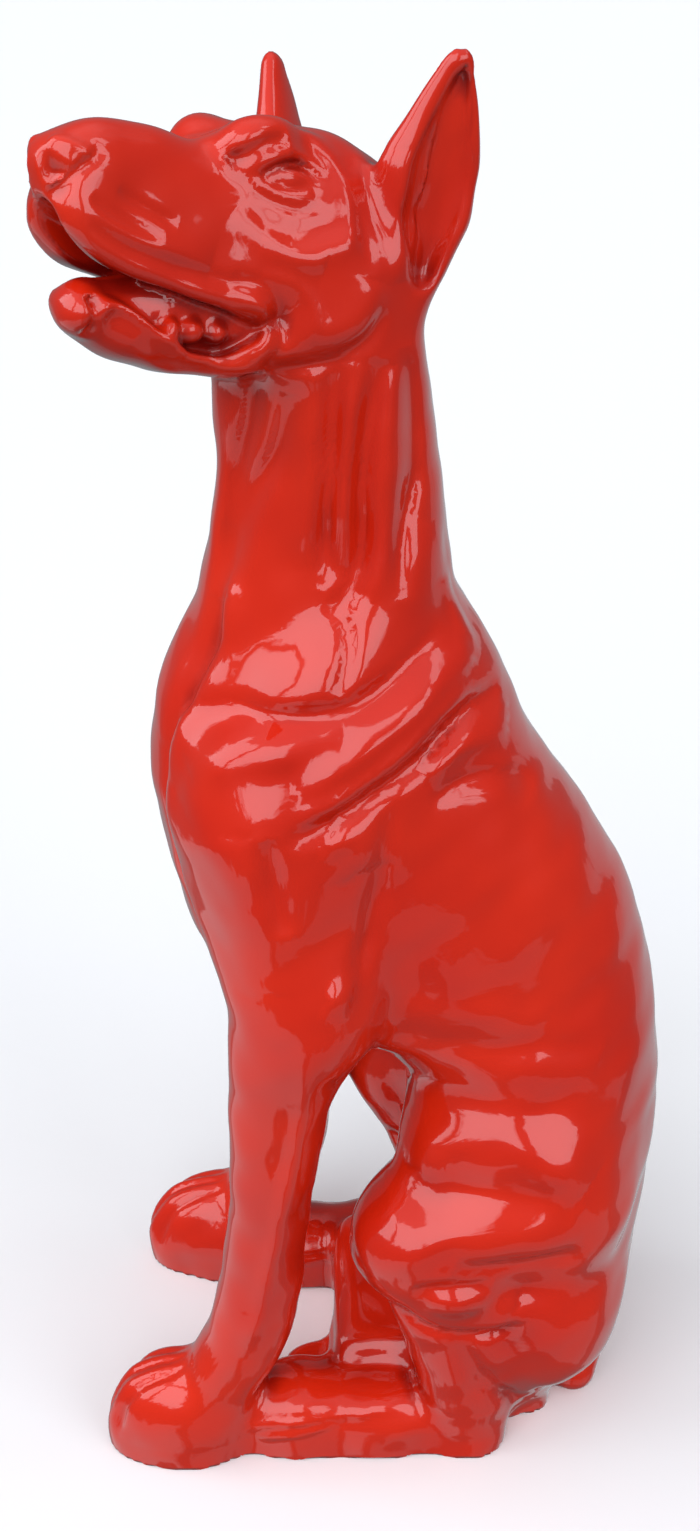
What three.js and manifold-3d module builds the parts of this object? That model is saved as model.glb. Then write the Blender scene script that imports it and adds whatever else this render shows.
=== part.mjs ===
// Seated guard dog, a hollow-cast glossy red figure that is one piece from ears to base.
// Millimetres, +Z up, standing on Z = 0. The dog looks towards -Y and its left side is +X.
import * as THREE from 'three';
import Module from 'manifold-3d';
import { mergeVertices } from 'three/addons/utils/BufferGeometryUtils.js';

// Overall placing
const BASE_X = 0;
const BASE_Y = 20;
const GLAZE_RED = 0xd22a18;

// Sampling of the form and size of the finished mesh
const BODY_CELL = 5.6;
const HEAD_CELL = 2.8;
const FOOT_CELL = 4.2;
const HEAD_FROM = 600;
const FOOT_UP_TO = 110;
const HEAD_KEEP = 5;
const TRIANGLES = 9400;
const REACH_X = 128;
const REACH_Y = [-172, 212];
const REACH_Z = [-20, 820];
const BELOW_GROUND = 9;

// Trunk and neck, level by level: height, front, back, half width, centre to the left
const TRUNK_LEVELS = [
  [720, -46, 22, 38, 10],
  [690, -56, 28, 42, 7],
  [648, -69, 41, 46, 0],
  [602, -67, 46, 48, 0],
  [569, -73, 50, 50, 0],
  [536, -79, 54, 56, 0],
  [514, -85, 66, 62, 0],
  [496, -91, 79, 68, 0],
  [476, -97, 86, 75, 0],
  [455, -103, 95, 82, 0],
  [430, -106, 111, 86, 0],
  [392, -103, 138, 88, 0],
  [353, -93, 159, 87, 0],
  [320, -82, 170, 85, 0],
  [311, -64, 172, 85, 0],
  [299, -34, 174, 86, 0],
  [285, -8, 176, 87, 0],
  [267, 14, 180, 86, 0],
  [244, 32, 183, 80, 0],
  [218, 42, 184, 74, 0],
  [180, 52, 183, 70, 0],
  [100, 58, 176, 76, 0],
  [60, 60, 165, 78, 0],
  [20, 64, 140, 70, 0],
  [0, 66, 126, 62, 0],
];

// Foreleg, level by level: height, front, back, half width, centre out from the middle
const FORELEG_LEVELS = [
  [380, -74, 12, 36, 60],
  [350, -69, 14, 39, 74],
  [328, -66, 9, 38, 80],
  [306, -66, 2, 35, 83],
  [290, -66, -1, 32, 85],
  [268, -66, -7, 29, 85],
  [226, -68, -14, 26, 85],
  [183, -70, -21, 24, 85],
  [138, -75, -26, 24, 85],
  [114, -79, -29, 25, 84],
  [91, -86, -35, 25, 83],
  [70, -96, -44, 25, 82],
  [40, -106, -60, 25, 81],
  [0, -112, -76, 23, 80],
];
const RIGHT_LEG_BACK = 14;

// Head in its own frame: forward, to the left, up, from a point between the eyes
const HEAD_CENTRE = [20, -50, 742];
const HEAD_YAW = 40;
const HEAD_PITCH = 12;
const HEAD_ROLL = 6;

// Skull and upper jaw: forward, top, lip line, half width
const SKULL_LEVELS = [
  [124, 1, -16, 10],
  [113, 8.5, -24, 15],
  [103, 14.5, -31, 18],
  [92, 18.5, -38, 20.5],
  [84, 19.5, -43, 22],
  [74, 19.5, -46, 23],
  [52, 18, -50, 26],
  [33, 15.5, -54, 29],
  [20, 19.5, -59, 33],
  [6, 26, -63, 37.5],
  [-13, 29, -67, 42],
  [-36, 30, -70, 44],
  [-49, 28, -70, 44],
  [-62, 22, -62, 43],
  [-84, 10, -50, 35],
  [-100, 0, -44, 27],
];

// Lower jaw: forward, lip line, bottom, half width
const JAW_LEVELS = [
  [100, -54, -62, 10],
  [92, -54, -73, 14.5],
  [84, -55, -76.5, 17.5],
  [74, -58, -80, 20],
  [60, -68, -84, 22.5],
  [40, -76, -88.5, 26],
  [20, -76, -89, 29.5],
  [10, -71, -88.5, 31.5],
  [-2, -61, -87.5, 34],
  [-20, -54, -85, 36.5],
  [-45, -42, -78, 37],
  [-60, -36, -66, 34],
];

// Ear: distance up the ear, half width, half thickness
const EAR_LEVELS = [
  [-44, 6, 12],
  [-30, 12, 14],
  [-10, 18, 13],
  [15, 24, 12],
  [40, 24, 10],
  [62, 17, 7],
  [76, 11.5, 5.5],
  [86, 7.5, 4.5],
  [92, 5, 3.5],
];
const EAR_ROOT = [44.5, -70, -20];
const EAR_TIP = [69, -66, 68];
const EAR_ACROSS = [-0.47, 0.88, 0];

// Carved lines of the flanks, seen from the side: width, height (a cut is below zero), then the
// path through points of back and up
const FLANK_LINES = {
  throatFold: [8, -4.2, [[-44, 664], [-47, 640], [-53, 612], [-60, 580], [-68, 540]]],
  secondThroatFold: [8, -3.6, [[-30, 650], [-35, 622], [-46, 598], [-54, 576], [-60, 546]]],
  neckBandGroove: [8, -4, [[-6, 668], [-8, 640], [-9, 610], [-12, 580], [-10, 552]]],
  neckBackGroove: [8, -4.2, [[15, 665], [9, 640], [5, 604], [6, 575], [0, 550], [-12, 538]]],
  firstNeckBand: [8, 2.2, [[-16, 664], [-18, 630], [-19, 595], [-20, 560]]],
  secondNeckBand: [8, 3, [[3, 664], [0, 630], [-3, 595], [-3, 562]]],
  thirdNeckBand: [8, 4, [[22, 660], [19, 630], [17, 598], [16, 570], [6, 549]]],
  scapulaBand: [18, 5.5, [[-94, 452], [-56, 488], [-16, 515], [24, 545], [44, 578]]],
  shoulderGroove: [8, -4, [[-88, 480], [-64, 491], [-38, 494], [-10, 496], [16, 505], [46, 527]]],
  shoulderRoll: [9, 2.6, [[-84, 464], [-60, 476], [-30, 481], [-4, 485]]],
  foldRoll: [10, 5.5, [[-26, 462], [-2, 474], [24, 490], [46, 505], [62, 512]]],
  mainFold: [8, -5, [[-34, 436], [-8, 445], [16, 458], [35, 469], [50, 480], [64, 486], [80, 484]]],
  lensFold: [8, 4.5, [[38, 460], [58, 472], [84, 470]]],
  upperArm: [12, 3.4, [[-10, 440], [4, 432], [8, 414]]],
  armAndRibGroove: [8, -2.3, [[23, 456], [18, 428], [14, 402], [9, 378], [5, 358], [6, 326]]],
  armFrontPlane: [14, 3, [[-58, 440], [-50, 400], [-44, 350]]],
  elbowKnot: [9, 2, [[-12, 350], [2, 346]]],
  bellyRoll: [9, 2, [[28, 322], [56, 321], [84, 318], [108, 310]]],
  bellyCrease: [9, -3, [[18, 306], [48, 300], [80, 296], [112, 294], [138, 284]]],
  forelegEdge: [8, 2.1, [[-21, 312], [-26, 262], [-36, 212], [-44, 170], [-52, 128], [-62, 92]]],
  forelegPlane: [8, -2.7, [[-9, 296], [-14, 250], [-24, 200], [-31, 150], [-38, 112]]],
  thighCrest: [15, 4.5, [[34, 214], [46, 235], [68, 243], [92, 241], [114, 229], [134, 210]]],
  thighValley: [12, -3.4, [[24, 194], [50, 206], [78, 210], [104, 207], [128, 195]]],
  kneeCrest: [15, 4, [[4, 164], [22, 178], [46, 186], [76, 186], [102, 180], [126, 168]]],
  kneeCrease: [8, -2.8, [[58, 169], [76, 166], [96, 164], [118, 165], [134, 162]]],
  calfLump: [11, 3.4, [[42, 143], [68, 140], [96, 131]]],
  hockCrease: [8, -3.2, [[24, 132], [40, 119], [62, 112], [84, 109], [100, 120]]],
  buttockCrease: [8, -3.5, [[63, 112], [70, 90], [77, 72], [88, 52], [104, 30]]],
};
const FAR_SIDE_DEPTH = 0.7;

// Carved lines of the breast, seen from the front: width, height, path of out and up
const CHEST_LINES = {
  breastGroove: [8, -3.5, [[26, 580], [34, 530], [40, 486], [44, 452], [52, 420], [62, 384], [64, 350]]],
  breastEdge: [8, 3, [[40, 560], [50, 520], [56, 484], [60, 452], [68, 420]]],
};

// Carved lines of the head, seen from its own side: width, height, path of forward and up
const MUZZLE_LINES = {
  nostril: [3.8, -4.1, [[117, 2], [112, -3], [107, -8]]],
  whiskerBed: [9, 3.8, [[108, -18], [94, -23], [78, -29], [58, -33], [36, -38]]],
  lipRoll: [3.8, 1.9, [[106, -24], [94, -33], [78, -40], [56, -46], [36, -50], [20, -53], [8, -58]]],
  cornerFold: [3.8, 1.3, [[28, -48], [15, -52], [7, -60], [5, -70], [9, -80]]],
  lowerLip: [3.8, 2.4, [[90, -67], [85, -60], [77, -59], [67, -64], [56, -72], [42, -78]]],
  tongueNotch: [3.8, -2.9, [[91, -55], [89, -64], [90, -78]]],
  lowerLipGroove: [3.8, -2.2, [[68, -72], [56, -78], [44, -82], [28, -82], [8, -77]]],
  jawLine: [4.5, -3, [[12, -78], [-10, -80], [-28, -77], [-42, -66], [-49, -50]]],
  cheek: [9, 3, [[-6, -66], [-24, -65], [-36, -54], [-40, -38]]],
};
const EYE_LINES = {
  upperLidCrease: [3.8, -1.6, [[13, 2], [6, 7], [-2, 9.5], [-11, 8.5], [-20, 3]]],
  browDent: [4.2, -3.4, [[27, 6], [19, 12], [10, 17], [0, 19]]],
  browRing: [7, 2.2,
    [[24, 24], [4, 29], [-16, 25], [-28, 10], [-30, -8], [-22, -23], [-4, -29], [14, -25]]],
  templeCrease: [5, -1, [[-31, 16], [-33, 0], [-35, -18], [-38, -36]]],
  earStrip: [5.5, 1.8, [[-46, 20], [-49, 2], [-52, -18], [-56, -38]]],
  cheekbone: [6, 2, [[26, -14], [6, -30], [-16, -34]]],
};

// Joins two forms with a soft fillet of the given width
function merge(a, b, width) {
  const near = Math.max(width - Math.abs(a - b), 0) / width;
  return Math.min(a, b) - near * near * width * 0.25;
}

// Keeps what two forms share, with a soft edge
function share(a, b, width) {
  return -merge(-a, -b, width);
}

// Scoops the second form out of the first, with a soft edge
function scoop(a, b, width) {
  return -merge(-a, b, width);
}

// 0 below the first limit, 1 above the second, and a smooth rise between
function ease(value, low, high) {
  return THREE.MathUtils.smoothstep(value, low, high);
}

// Egg with its own radii, leaning back by lean degrees
function egg(x, y, z, centre, radii, lean = 0) {
  const turn = THREE.MathUtils.degToRad(lean);
  const across = x - centre[0];
  const depth = (y - centre[1]) * Math.cos(turn) - (z - centre[2]) * Math.sin(turn);
  const up = (y - centre[1]) * Math.sin(turn) + (z - centre[2]) * Math.cos(turn);
  const near = Math.hypot(across / radii[0], depth / radii[1], up / radii[2]);
  const slope = Math.hypot(across / radii[0] ** 2, depth / radii[1] ** 2, up / radii[2] ** 2);
  return near * (near - 1) / Math.max(slope, 1e-6);
}

// Round rod from one point to another, with a radius at each end
function limb(x, y, z, from, to, fromRadius, toRadius) {
  const dx = to[0] - from[0];
  const dy = to[1] - from[1];
  const dz = to[2] - from[2];
  const along = ((x - from[0]) * dx + (y - from[1]) * dy + (z - from[2]) * dz)
    / (dx * dx + dy * dy + dz * dz);
  const t = Math.min(Math.max(along, 0), 1);
  const gap = Math.hypot(x - from[0] - dx * t, y - from[1] - dy * t, z - from[2] - dz * t);
  return gap - fromRadius - (toRadius - fromRadius) * t;
}

// Smooth curves through rows of [place, value, value...], as a function of the place
function profile(rows, softness) {
  const sorted = [...rows].sort((a, b) => a[0] - b[0]);
  const spread = 4 * softness;
  const start = Math.floor(sorted[0][0] - spread);
  const count = Math.ceil(sorted.at(-1)[0] + spread) - start + 1;
  const straight = (place, column) => {
    const p = Math.min(Math.max(place, sorted[0][0]), sorted.at(-1)[0]);
    let row = 1;
    while (row < sorted.length - 1 && sorted[row][0] < p) row += 1;
    const [low, high] = [sorted[row - 1], sorted[row]];
    return low[column] + (high[column] - low[column]) * (p - low[0]) / (high[0] - low[0]);
  };
  const tables = sorted[0].slice(1).map((value, index) => {
    const table = new Float64Array(count);
    for (let i = 0; i < count; i += 1) {
      let sum = 0;
      let total = 0;
      for (let s = -spread; s <= spread; s += 1) {
        const weight = Math.exp(-0.5 * (s / softness) ** 2);
        sum += weight * straight(start + i + s, index + 1);
        total += weight;
      }
      table[i] = sum / total;
    }
    return table;
  });
  return (place) => {
    const p = Math.min(Math.max(place - start, 0), count - 1.001);
    const i = Math.floor(p);
    return tables.map((table) => table[i] + (table[i + 1] - table[i]) * (p - i));
  };
}

// Rounded-square section with its own half axes; the power sets how square it is
function section(across, depth, halfWidth, halfDepth, power) {
  const a = Math.abs(across) / halfWidth;
  const b = Math.abs(depth) / halfDepth;
  const near = (a ** power + b ** power) ** (1 / power);
  const slope = Math.hypot(a ** (power - 1) / halfWidth, b ** (power - 1) / halfDepth)
    * Math.max(near, 1e-3) ** (1 - power);
  return (near - 1) / Math.max(slope, 1 / (3 * Math.max(halfWidth, halfDepth)));
}

// Upright form that follows its levels between a bottom and a top
function column(x, y, z, levels, bottom, top, power) {
  const [front, back, half, centre] = levels(z);
  const wall = section(x - centre, y - (front + back) / 2, half, (back - front) / 2, power);
  return share(wall, Math.max(z - top, bottom - z), 14);
}

// Carved lines made ready: a smooth curve through each path, and the box that it reaches
function readyLines(lines) {
  return Object.values(lines).map(([width, height, path]) => {
    const route = new THREE.CatmullRomCurve3(path.map(([u, v]) => new THREE.Vector3(u, v, 0)));
    const curve = route.getPoints(4 * (path.length - 1));
    const reach = 2.6 * width;
    const box = new THREE.Box3().setFromPoints(curve).expandByScalar(reach);
    return { width, height, curve, box };
  });
}

// Height that carved lines add at a place: each line fades out towards both of its ends
function carve(u, v, lines) {
  let total = 0;
  for (const { width, height, curve, box } of lines) {
    if (u < box.min.x || u > box.max.x || v < box.min.y || v > box.max.y) continue;
    let nearest = Infinity;
    let along = 0;
    for (let i = 0; i < curve.length - 1; i += 1) {
      const [a, b] = [curve[i], curve[i + 1]];
      const [du, dv] = [b.x - a.x, b.y - a.y];
      const t = Math.min(Math.max(((u - a.x) * du + (v - a.y) * dv) / (du * du + dv * dv), 0), 1);
      const far = (u - a.x - du * t) ** 2 + (v - a.y - dv * t) ** 2;
      if (far < nearest) {
        nearest = far;
        along = i + t;
      }
    }
    const middle = (2 * along) / (curve.length - 1) - 1;
    total += height * Math.exp(-nearest / width ** 2) * (1 - middle ** 4);
  }
  return total;
}

const trunkAt = profile(TRUNK_LEVELS, 6);
const forelegAt = profile(FORELEG_LEVELS, 6);
const skullAt = profile(SKULL_LEVELS, 4);
const jawAt = profile(JAW_LEVELS, 4);
const earAt = profile(EAR_LEVELS, 3);
const flankLines = readyLines(FLANK_LINES);
const chestLines = readyLines(CHEST_LINES);
const muzzleLines = readyLines(MUZZLE_LINES);
const eyeLines = readyLines(EYE_LINES);

// The right foreleg stands a little further back than the left one
function legBack(x) {
  return RIGHT_LEG_BACK * ease(-x, 20, 70);
}

function trunk(x, y, z) {
  const side = Math.abs(x);
  let d = column(x, y, z, trunkAt, -30, 715, 2.25);
  d = merge(d, egg(side, y, z, [50, -22, 427], [42, 58, 94], 24), 26);
  d = merge(d, limb(side, y, z, [66, -44, 430], [82, -18, 318], 40, 32), 30);
  return merge(d, egg(x, y, z, [0, -60, 452], [50, 42, 60]), 26);
}

function haunch(side, y, z) {
  let d = egg(side, y, z, [54, 90, 219], [45, 58, 40]);
  d = merge(d, limb(side, y, z, [58, 118, 172], [83, 36, 163], 45, 36), 44);
  d = merge(d, limb(side, y, z, [80, 54, 140], [74, 72, 40], 36, 28), 16);
  d = merge(d, egg(side, y, z, [86, 78, 120], [24, 32, 16], -14), 8);
  return merge(d, egg(side, y, z, [63, 117, 98], [42, 44, 56]), 24);
}

// Heights near the ground count for less, which keeps a sole full
function grounded(z, height) {
  return z < height ? height - (height - z) * 0.35 : z;
}

// Shallow grooves between the four toes of a paw, fanned about its middle
function toeGrooves(side, y, z, { middle, tip, spread, depth }) {
  let cut = 0;
  for (const place of [-1, 0, 1]) {
    const line = middle + place * spread * (1 + 0.012 * (tip + 30 - y));
    cut += Math.exp(-(((side - line) / 3.4) ** 2));
  }
  return depth * cut * (1 - ease(y, tip + 36, tip + 62)) * ease(z, 8, 34);
}

function forepaw(x, y, z) {
  const side = Math.abs(x + legBack(x) * 0.4);
  const depth = y - legBack(x) * 0.75;
  const up = grounded(z, 16);
  let d = egg(side, depth, up, [80, -105, 18], [28, 44, 38]);
  d = merge(d, egg(side, depth, up, [81, -98, 38], [25, 38, 24]), 14);
  return d + toeGrooves(side, depth, z, { middle: 80, tip: -149, spread: 11, depth: 2.4 });
}

function hindFoot(side, y, z) {
  const up = grounded(z, 20);
  let d = limb(side, y, up, [76, 74, 16], [77, 16, 20], 22, 21);
  d = merge(d, limb(side, y, up, [77, 20, 20], [74, -22, 21], 21, 23), 14);
  d = merge(d, egg(side, y, up, [73, -28, 18], [25, 32, 24]), 10);
  return merge(d, limb(side, y, up, [74, -40, 20], [76, -92, 22], 24, 20), 12);
}

// Low mass that joins the hind feet, and the docked tail beside it
function seat(x, y, z) {
  const block = share(share(Math.abs(x) - 64, Math.abs(y - 58) - 68, 16), z - 60, 16);
  const apron = share(share(Math.abs(x - 42) - 34, Math.abs(y - 10) - 54, 20), z - 14, 10);
  const tail = limb(x, y, z, [0, 150, 40], [32, 141, 10], 22, 15);
  const web = limb(x, y, z, [72, -68, 6], [73, -30, 6], 14, 17);
  return merge(merge(merge(block, apron, 14), tail, 12), web, 8);
}

// Unit vectors of the head's forward, left and up directions
function headAxes() {
  const turn = new THREE.Matrix4()
    .makeRotationZ(THREE.MathUtils.degToRad(HEAD_YAW))
    .multiply(new THREE.Matrix4().makeRotationX(THREE.MathUtils.degToRad(-HEAD_PITCH)))
    .multiply(new THREE.Matrix4().makeRotationY(THREE.MathUtils.degToRad(-HEAD_ROLL)));
  const left = new THREE.Vector3(1, 0, 0).transformDirection(turn);
  const forward = new THREE.Vector3(0, -1, 0).transformDirection(turn);
  const up = new THREE.Vector3(0, 0, 1).transformDirection(turn);
  return [forward, left, up].map((axis) => axis.toArray());
}
const [FORWARD, LEFT, UP] = headAxes();

// Unit vectors along an ear, across it and through it
function earAxes() {
  const root = new THREE.Vector3(...EAR_ROOT);
  const along = new THREE.Vector3(...EAR_TIP).sub(root);
  const length = along.length();
  along.normalize();
  const across = new THREE.Vector3(...EAR_ACROSS);
  across.addScaledVector(along, -across.dot(along)).normalize();
  const through = new THREE.Vector3().crossVectors(along, across);
  if (through.x < 0) through.negate();
  return { length, axes: [along, across, through].map((axis) => axis.toArray()) };
}
const EAR = earAxes();

const dot = (a, b) => a[0] * b[0] + a[1] * b[1] + a[2] * b[2];

// Forward, left and up from the point between the eyes
function headPlace(x, y, z) {
  const from = [x - HEAD_CENTRE[0], y - HEAD_CENTRE[1], z - HEAD_CENTRE[2]];
  return [dot(from, FORWARD), dot(from, LEFT), dot(from, UP)];
}

// Pointed leaf with a scooped front, in which two ribs run up
function ear(side, forward, up) {
  const from = [side - EAR_ROOT[0], forward - EAR_ROOT[1], up - EAR_ROOT[2]];
  const [along, across, through] = EAR.axes.map((axis) => dot(from, axis));
  const [half, thick] = earAt(along);
  const leaf = share(
    section(across, through, half, thick, 2.2),
    Math.max(along - EAR.length, -44 - along),
    8,
  );
  const hollow = share(
    section(across + 3.5, through - thick * 1.15, Math.max(half - 8, 1.5), thick * 1.25, 2.2),
    Math.max(along - EAR.length + 8, -18 - along),
    8,
  );
  const ribs = Math.exp(-(((across + 6) / 2.6) ** 2)) + 0.8 * Math.exp(-(((across - 2) / 2.4) ** 2));
  const ribHeight = 2.4 * ease(along, -14, 4) * ease(-along, -70, -48) * ease(through, 0, 3);
  return scoop(leaf, hollow, 5) - ribs * ribHeight;
}

// Skull with the upper jaw, hollowed between the lips
function skull(side, f, u) {
  const [top, lip, half] = skullAt(f);
  const rise = 14 + (top - lip) * 0.15 * Math.min(Math.max((20 - f) / 40, 0), 1) + 10 * ease(f, 20, 50);
  const broad = lip + Math.min(rise, 0.55 * (top - lip));
  let d = section(side, Math.max(u - broad, 0), half, top - broad, 2.3);
  d = share(d, lip - u, 4 + 26 * Math.min(Math.max((24 - f) / 30, 0), 1));
  d = share(d, Math.max(f - 116.5 - 0.36 * u, -92 - f), 14);
  d = scoop(d, limb(side, f, u, [0, 106, -26], [0, 12, -62], 8, 19), 5);
  return merge(d, egg(side, f, u, [19, 9, 15], [15, 19, 14]), 10);
}

function jaw(side, f, u) {
  const [rim, bottom, half] = jawAt(f);
  const depth = Math.min(u - (rim + bottom) / 2 - (rim - bottom) * 0.2, 0);
  const d = share(section(side, depth, half, (rim - bottom) * 0.7, 2.4), u - rim, 5);
  return share(d, Math.max(f - 98, -60 - f), 12);
}

// Tongue with its tip over the lip, and the gum with three molars
function tongue(s, f, u) {
  let d = limb(s, f, u, [0, 10, -62], [0, 50, -60], 24, 17);
  d = merge(d, limb(s, f, u, [0, 50, -60], [2, 82, -59], 17, 12), 10);
  d = merge(d, egg(s, f, u, [6, 89, -63], [15, 11, 11.5]), 8);
  for (const [place, size] of [[51, 5], [39, 7.5], [25, 6]]) {
    d = merge(d, egg(Math.abs(s), f, u, [19, place, -68], [6.5, size, 6]), 4);
  }
  return d;
}

function head(x, y, z) {
  const [f, s, u] = headPlace(x, y, z);
  const side = Math.abs(s);
  let d = merge(skull(side, f, u), jaw(side, f, u), 6);
  d = merge(d, tongue(s, f, u), 4);
  d = merge(d, egg(side, f, u, [20, -45, -30], [26, 38, 40]), 12);
  d = merge(d, egg(side, f, u, [25.3, -6, 2.5], [9, 10, 6.5]), 3);
  return merge(d, ear(side, f, u), 8);
}

// Height of all carved lines at a place
function carving(x, y, z) {
  const side = Math.abs(x);
  let total = carve(y, z, flankLines) * ease(side, 12, 30) * (x > 0 ? 1 : FAR_SIDE_DEPTH);
  total += carve(side, z, chestLines) * ease(-y, 46, 64);
  if (z < 610) return total;
  const [f, s, u] = headPlace(x, y, z);
  const lines = carve(f, u, muzzleLines) * ease(Math.abs(s), 7, 14)
    + carve(f, u, eyeLines) * ease(Math.abs(s), 14, 24);
  return total + lines * ease(u, -96, -86);
}

// Distance to the surface of the whole figure, negative inside. It runs a little below the
// ground, where the sole is cut
function figure(x, y, z) {
  const side = Math.abs(x);
  let d = trunk(x, y, z);
  if (z < 400) {
    d = merge(d, column(side, y - legBack(x), z, forelegAt, -12, 372, 2.3), 16);
    d = merge(d, haunch(side, y, z), 22);
  }
  if (z < 130) {
    d = merge(d, forepaw(x, y, z), 10);
    d = merge(d, merge(hindFoot(side, y, z), seat(x, y, z), 12), 10);
  }
  if (z > 560) d = merge(d, head(x, y, z), 16);
  if (Math.abs(d) < 25) d -= carving(x, y, z);
  return Math.max(d, -BELOW_GROUND - z);
}

// Heights of the sampling levels, closer together over the head and the feet
function sampleLevels() {
  const cellAt = (z) => {
    const headShare = ease(z, HEAD_FROM, HEAD_FROM + 60);
    const footShare = ease(-z, -FOOT_UP_TO, 40 - FOOT_UP_TO);
    return BODY_CELL + (HEAD_CELL - BODY_CELL) * headShare + (FOOT_CELL - BODY_CELL) * footShare;
  };
  const levels = [];
  let z = REACH_Z[0];
  while (z < REACH_Z[1]) {
    levels.push({ z, cell: cellAt(z) });
    z += cellAt(z);
  }
  return levels;
}

// Samples the figure on a lattice; far from the surface it steps over points
function sampleLattice() {
  const levels = sampleLevels();
  const finest = Math.min(...levels.map((level) => level.cell));
  const across = Math.ceil((2 * REACH_X) / finest) + 1;
  const deep = Math.ceil((REACH_Y[1] - REACH_Y[0]) / finest) + 1;
  const middle = (REACH_Y[0] + REACH_Y[1]) / 2;
  const place = (i, j, k) => {
    const low = Math.min(Math.floor(k), levels.length - 2);
    const t = k - low;
    const cell = levels[low].cell + (levels[low + 1].cell - levels[low].cell) * t;
    return [
      (i - (across - 1) / 2) * cell,
      middle + (j - (deep - 1) / 2) * cell,
      levels[low].z + (levels[low + 1].z - levels[low].z) * t,
    ];
  };
  const values = new Float32Array(across * deep * levels.length).fill(1e3);
  for (let k = 0; k < levels.length; k += 1) {
    for (let j = 0; j < deep; j += 1) {
      let i = 0;
      while (i < across) {
        const [x, y, z] = place(i, j, k);
        const outside = Math.abs(x) > REACH_X || y < REACH_Y[0] || y > REACH_Y[1];
        const d = outside ? 1e3 : figure(x, y, z);
        const steps = outside ? 1 : Math.max(1, Math.floor((0.45 * Math.abs(d)) / levels[k].cell));
        for (let s = 0; s < steps && i < across; s += 1) {
          values[i + across * (j + deep * k)] = d;
          i += 1;
        }
      }
    }
  }
  return { across, deep, high: levels.length, values, place };
}

// Where the corners of a lattice face lie inside and outside in turn, the surface would touch
// itself, so the outer corner nearest to it joins the inside
function untangle({ across, deep, high, values }) {
  const strides = [1, across, across * deep];
  const sizes = [across, deep, high];
  let changed = 1;
  while (changed > 0) {
    changed = 0;
    for (let axis = 0; axis < 3; axis += 1) {
      const [u, v] = [(axis + 1) % 3, (axis + 2) % 3];
      const [endI, endJ, endK] = sizes.map((size, n) => (n === axis ? size : size - 1));
      for (let k = 0; k < endK; k += 1) {
        for (let j = 0; j < endJ; j += 1) {
          for (let i = 0; i < endI; i += 1) {
            const here = i + across * (j + deep * k);
            const round = [here, here + strides[u], here + strides[u] + strides[v], here + strides[v]];
            const [a, b, c, d] = round.map((n) => values[n] < 0);
            if (a === c && b === d && a !== b) {
              const outer = round.filter((n) => values[n] >= 0);
              values[values[outer[0]] < values[outer[1]] ? outer[0] : outer[1]] = -0.01;
              changed += 1;
            }
          }
        }
      }
    }
  }
}

// Closed mesh around the samples: one point per cell that the surface crosses,
// one quad per lattice edge that it crosses
function wrapSurface({ across, deep, high, values, place }) {
  const at = (i, j, k) => i + across * (j + deep * k);
  const pointOf = new Int32Array(values.length).fill(-1);
  const points = [];
  for (let k = 0; k < high - 1; k += 1) {
    for (let j = 0; j < deep - 1; j += 1) {
      for (let i = 0; i < across - 1; i += 1) {
        const sum = [0, 0, 0];
        let crossings = 0;
        for (let axis = 0; axis < 3; axis += 1) {
          for (let corner = 0; corner < 4; corner += 1) {
            const from = [i, j, k];
            from[(axis + 1) % 3] += corner & 1;
            from[(axis + 2) % 3] += corner >> 1;
            const to = [...from];
            to[axis] += 1;
            const a = values[at(...from)];
            const b = values[at(...to)];
            if (a < 0 !== b < 0) {
              from[axis] += a / (a - b);
              from.forEach((value, n) => { sum[n] += value; });
              crossings += 1;
            }
          }
        }
        if (crossings > 0) {
          pointOf[at(i, j, k)] = points.length;
          points.push(settle(place(...sum.map((value) => value / crossings))));
        }
      }
    }
  }
  const triangles = [];
  for (let k = 1; k < high - 1; k += 1) {
    for (let j = 1; j < deep - 1; j += 1) {
      for (let i = 1; i < across - 1; i += 1) {
        for (let axis = 0; axis < 3; axis += 1) {
          const here = [i, j, k];
          const next = [...here];
          next[axis] += 1;
          const inside = values[at(...here)] < 0;
          if (inside === values[at(...next)] < 0) continue;
          const cell = (u, v) => {
            const c = [...here];
            c[(axis + 1) % 3] -= u;
            c[(axis + 2) % 3] -= v;
            return pointOf[at(...c)];
          };
          const quad = [cell(1, 1), cell(0, 1), cell(0, 0), cell(1, 0)];
          if (!inside) quad.reverse();
          triangles.push([quad[0], quad[1], quad[2]], [quad[0], quad[2], quad[3]]);
        }
      }
    }
  }
  return { points, triangles };
}

// Moves a point along the slope of the figure until it lies on the surface
function settle(point) {
  const step = 0.4;
  let [x, y, z] = point;
  for (let round = 0; round < 2; round += 1) {
    const d = figure(x, y, z);
    const slope = [
      (figure(x + step, y, z) - d) / step,
      (figure(x, y + step, z) - d) / step,
      (figure(x, y, z + step) - d) / step,
    ];
    const steep = Math.max(dot(slope, slope), 0.1);
    const move = Math.min(Math.max(d / steep, -2), 2);
    x -= slope[0] * move;
    y -= slope[1] * move;
    z -= slope[2] * move;
  }
  return [x, y, z];
}

const minus = (a, b) => [a[0] - b[0], a[1] - b[1], a[2] - b[2]];
const cross = (a, b) => [
  a[1] * b[2] - a[2] * b[1],
  a[2] * b[0] - a[0] * b[2],
  a[0] * b[1] - a[1] * b[0],
];
const normalOf = (a, b, c) => cross(minus(b, a), minus(c, a));

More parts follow.
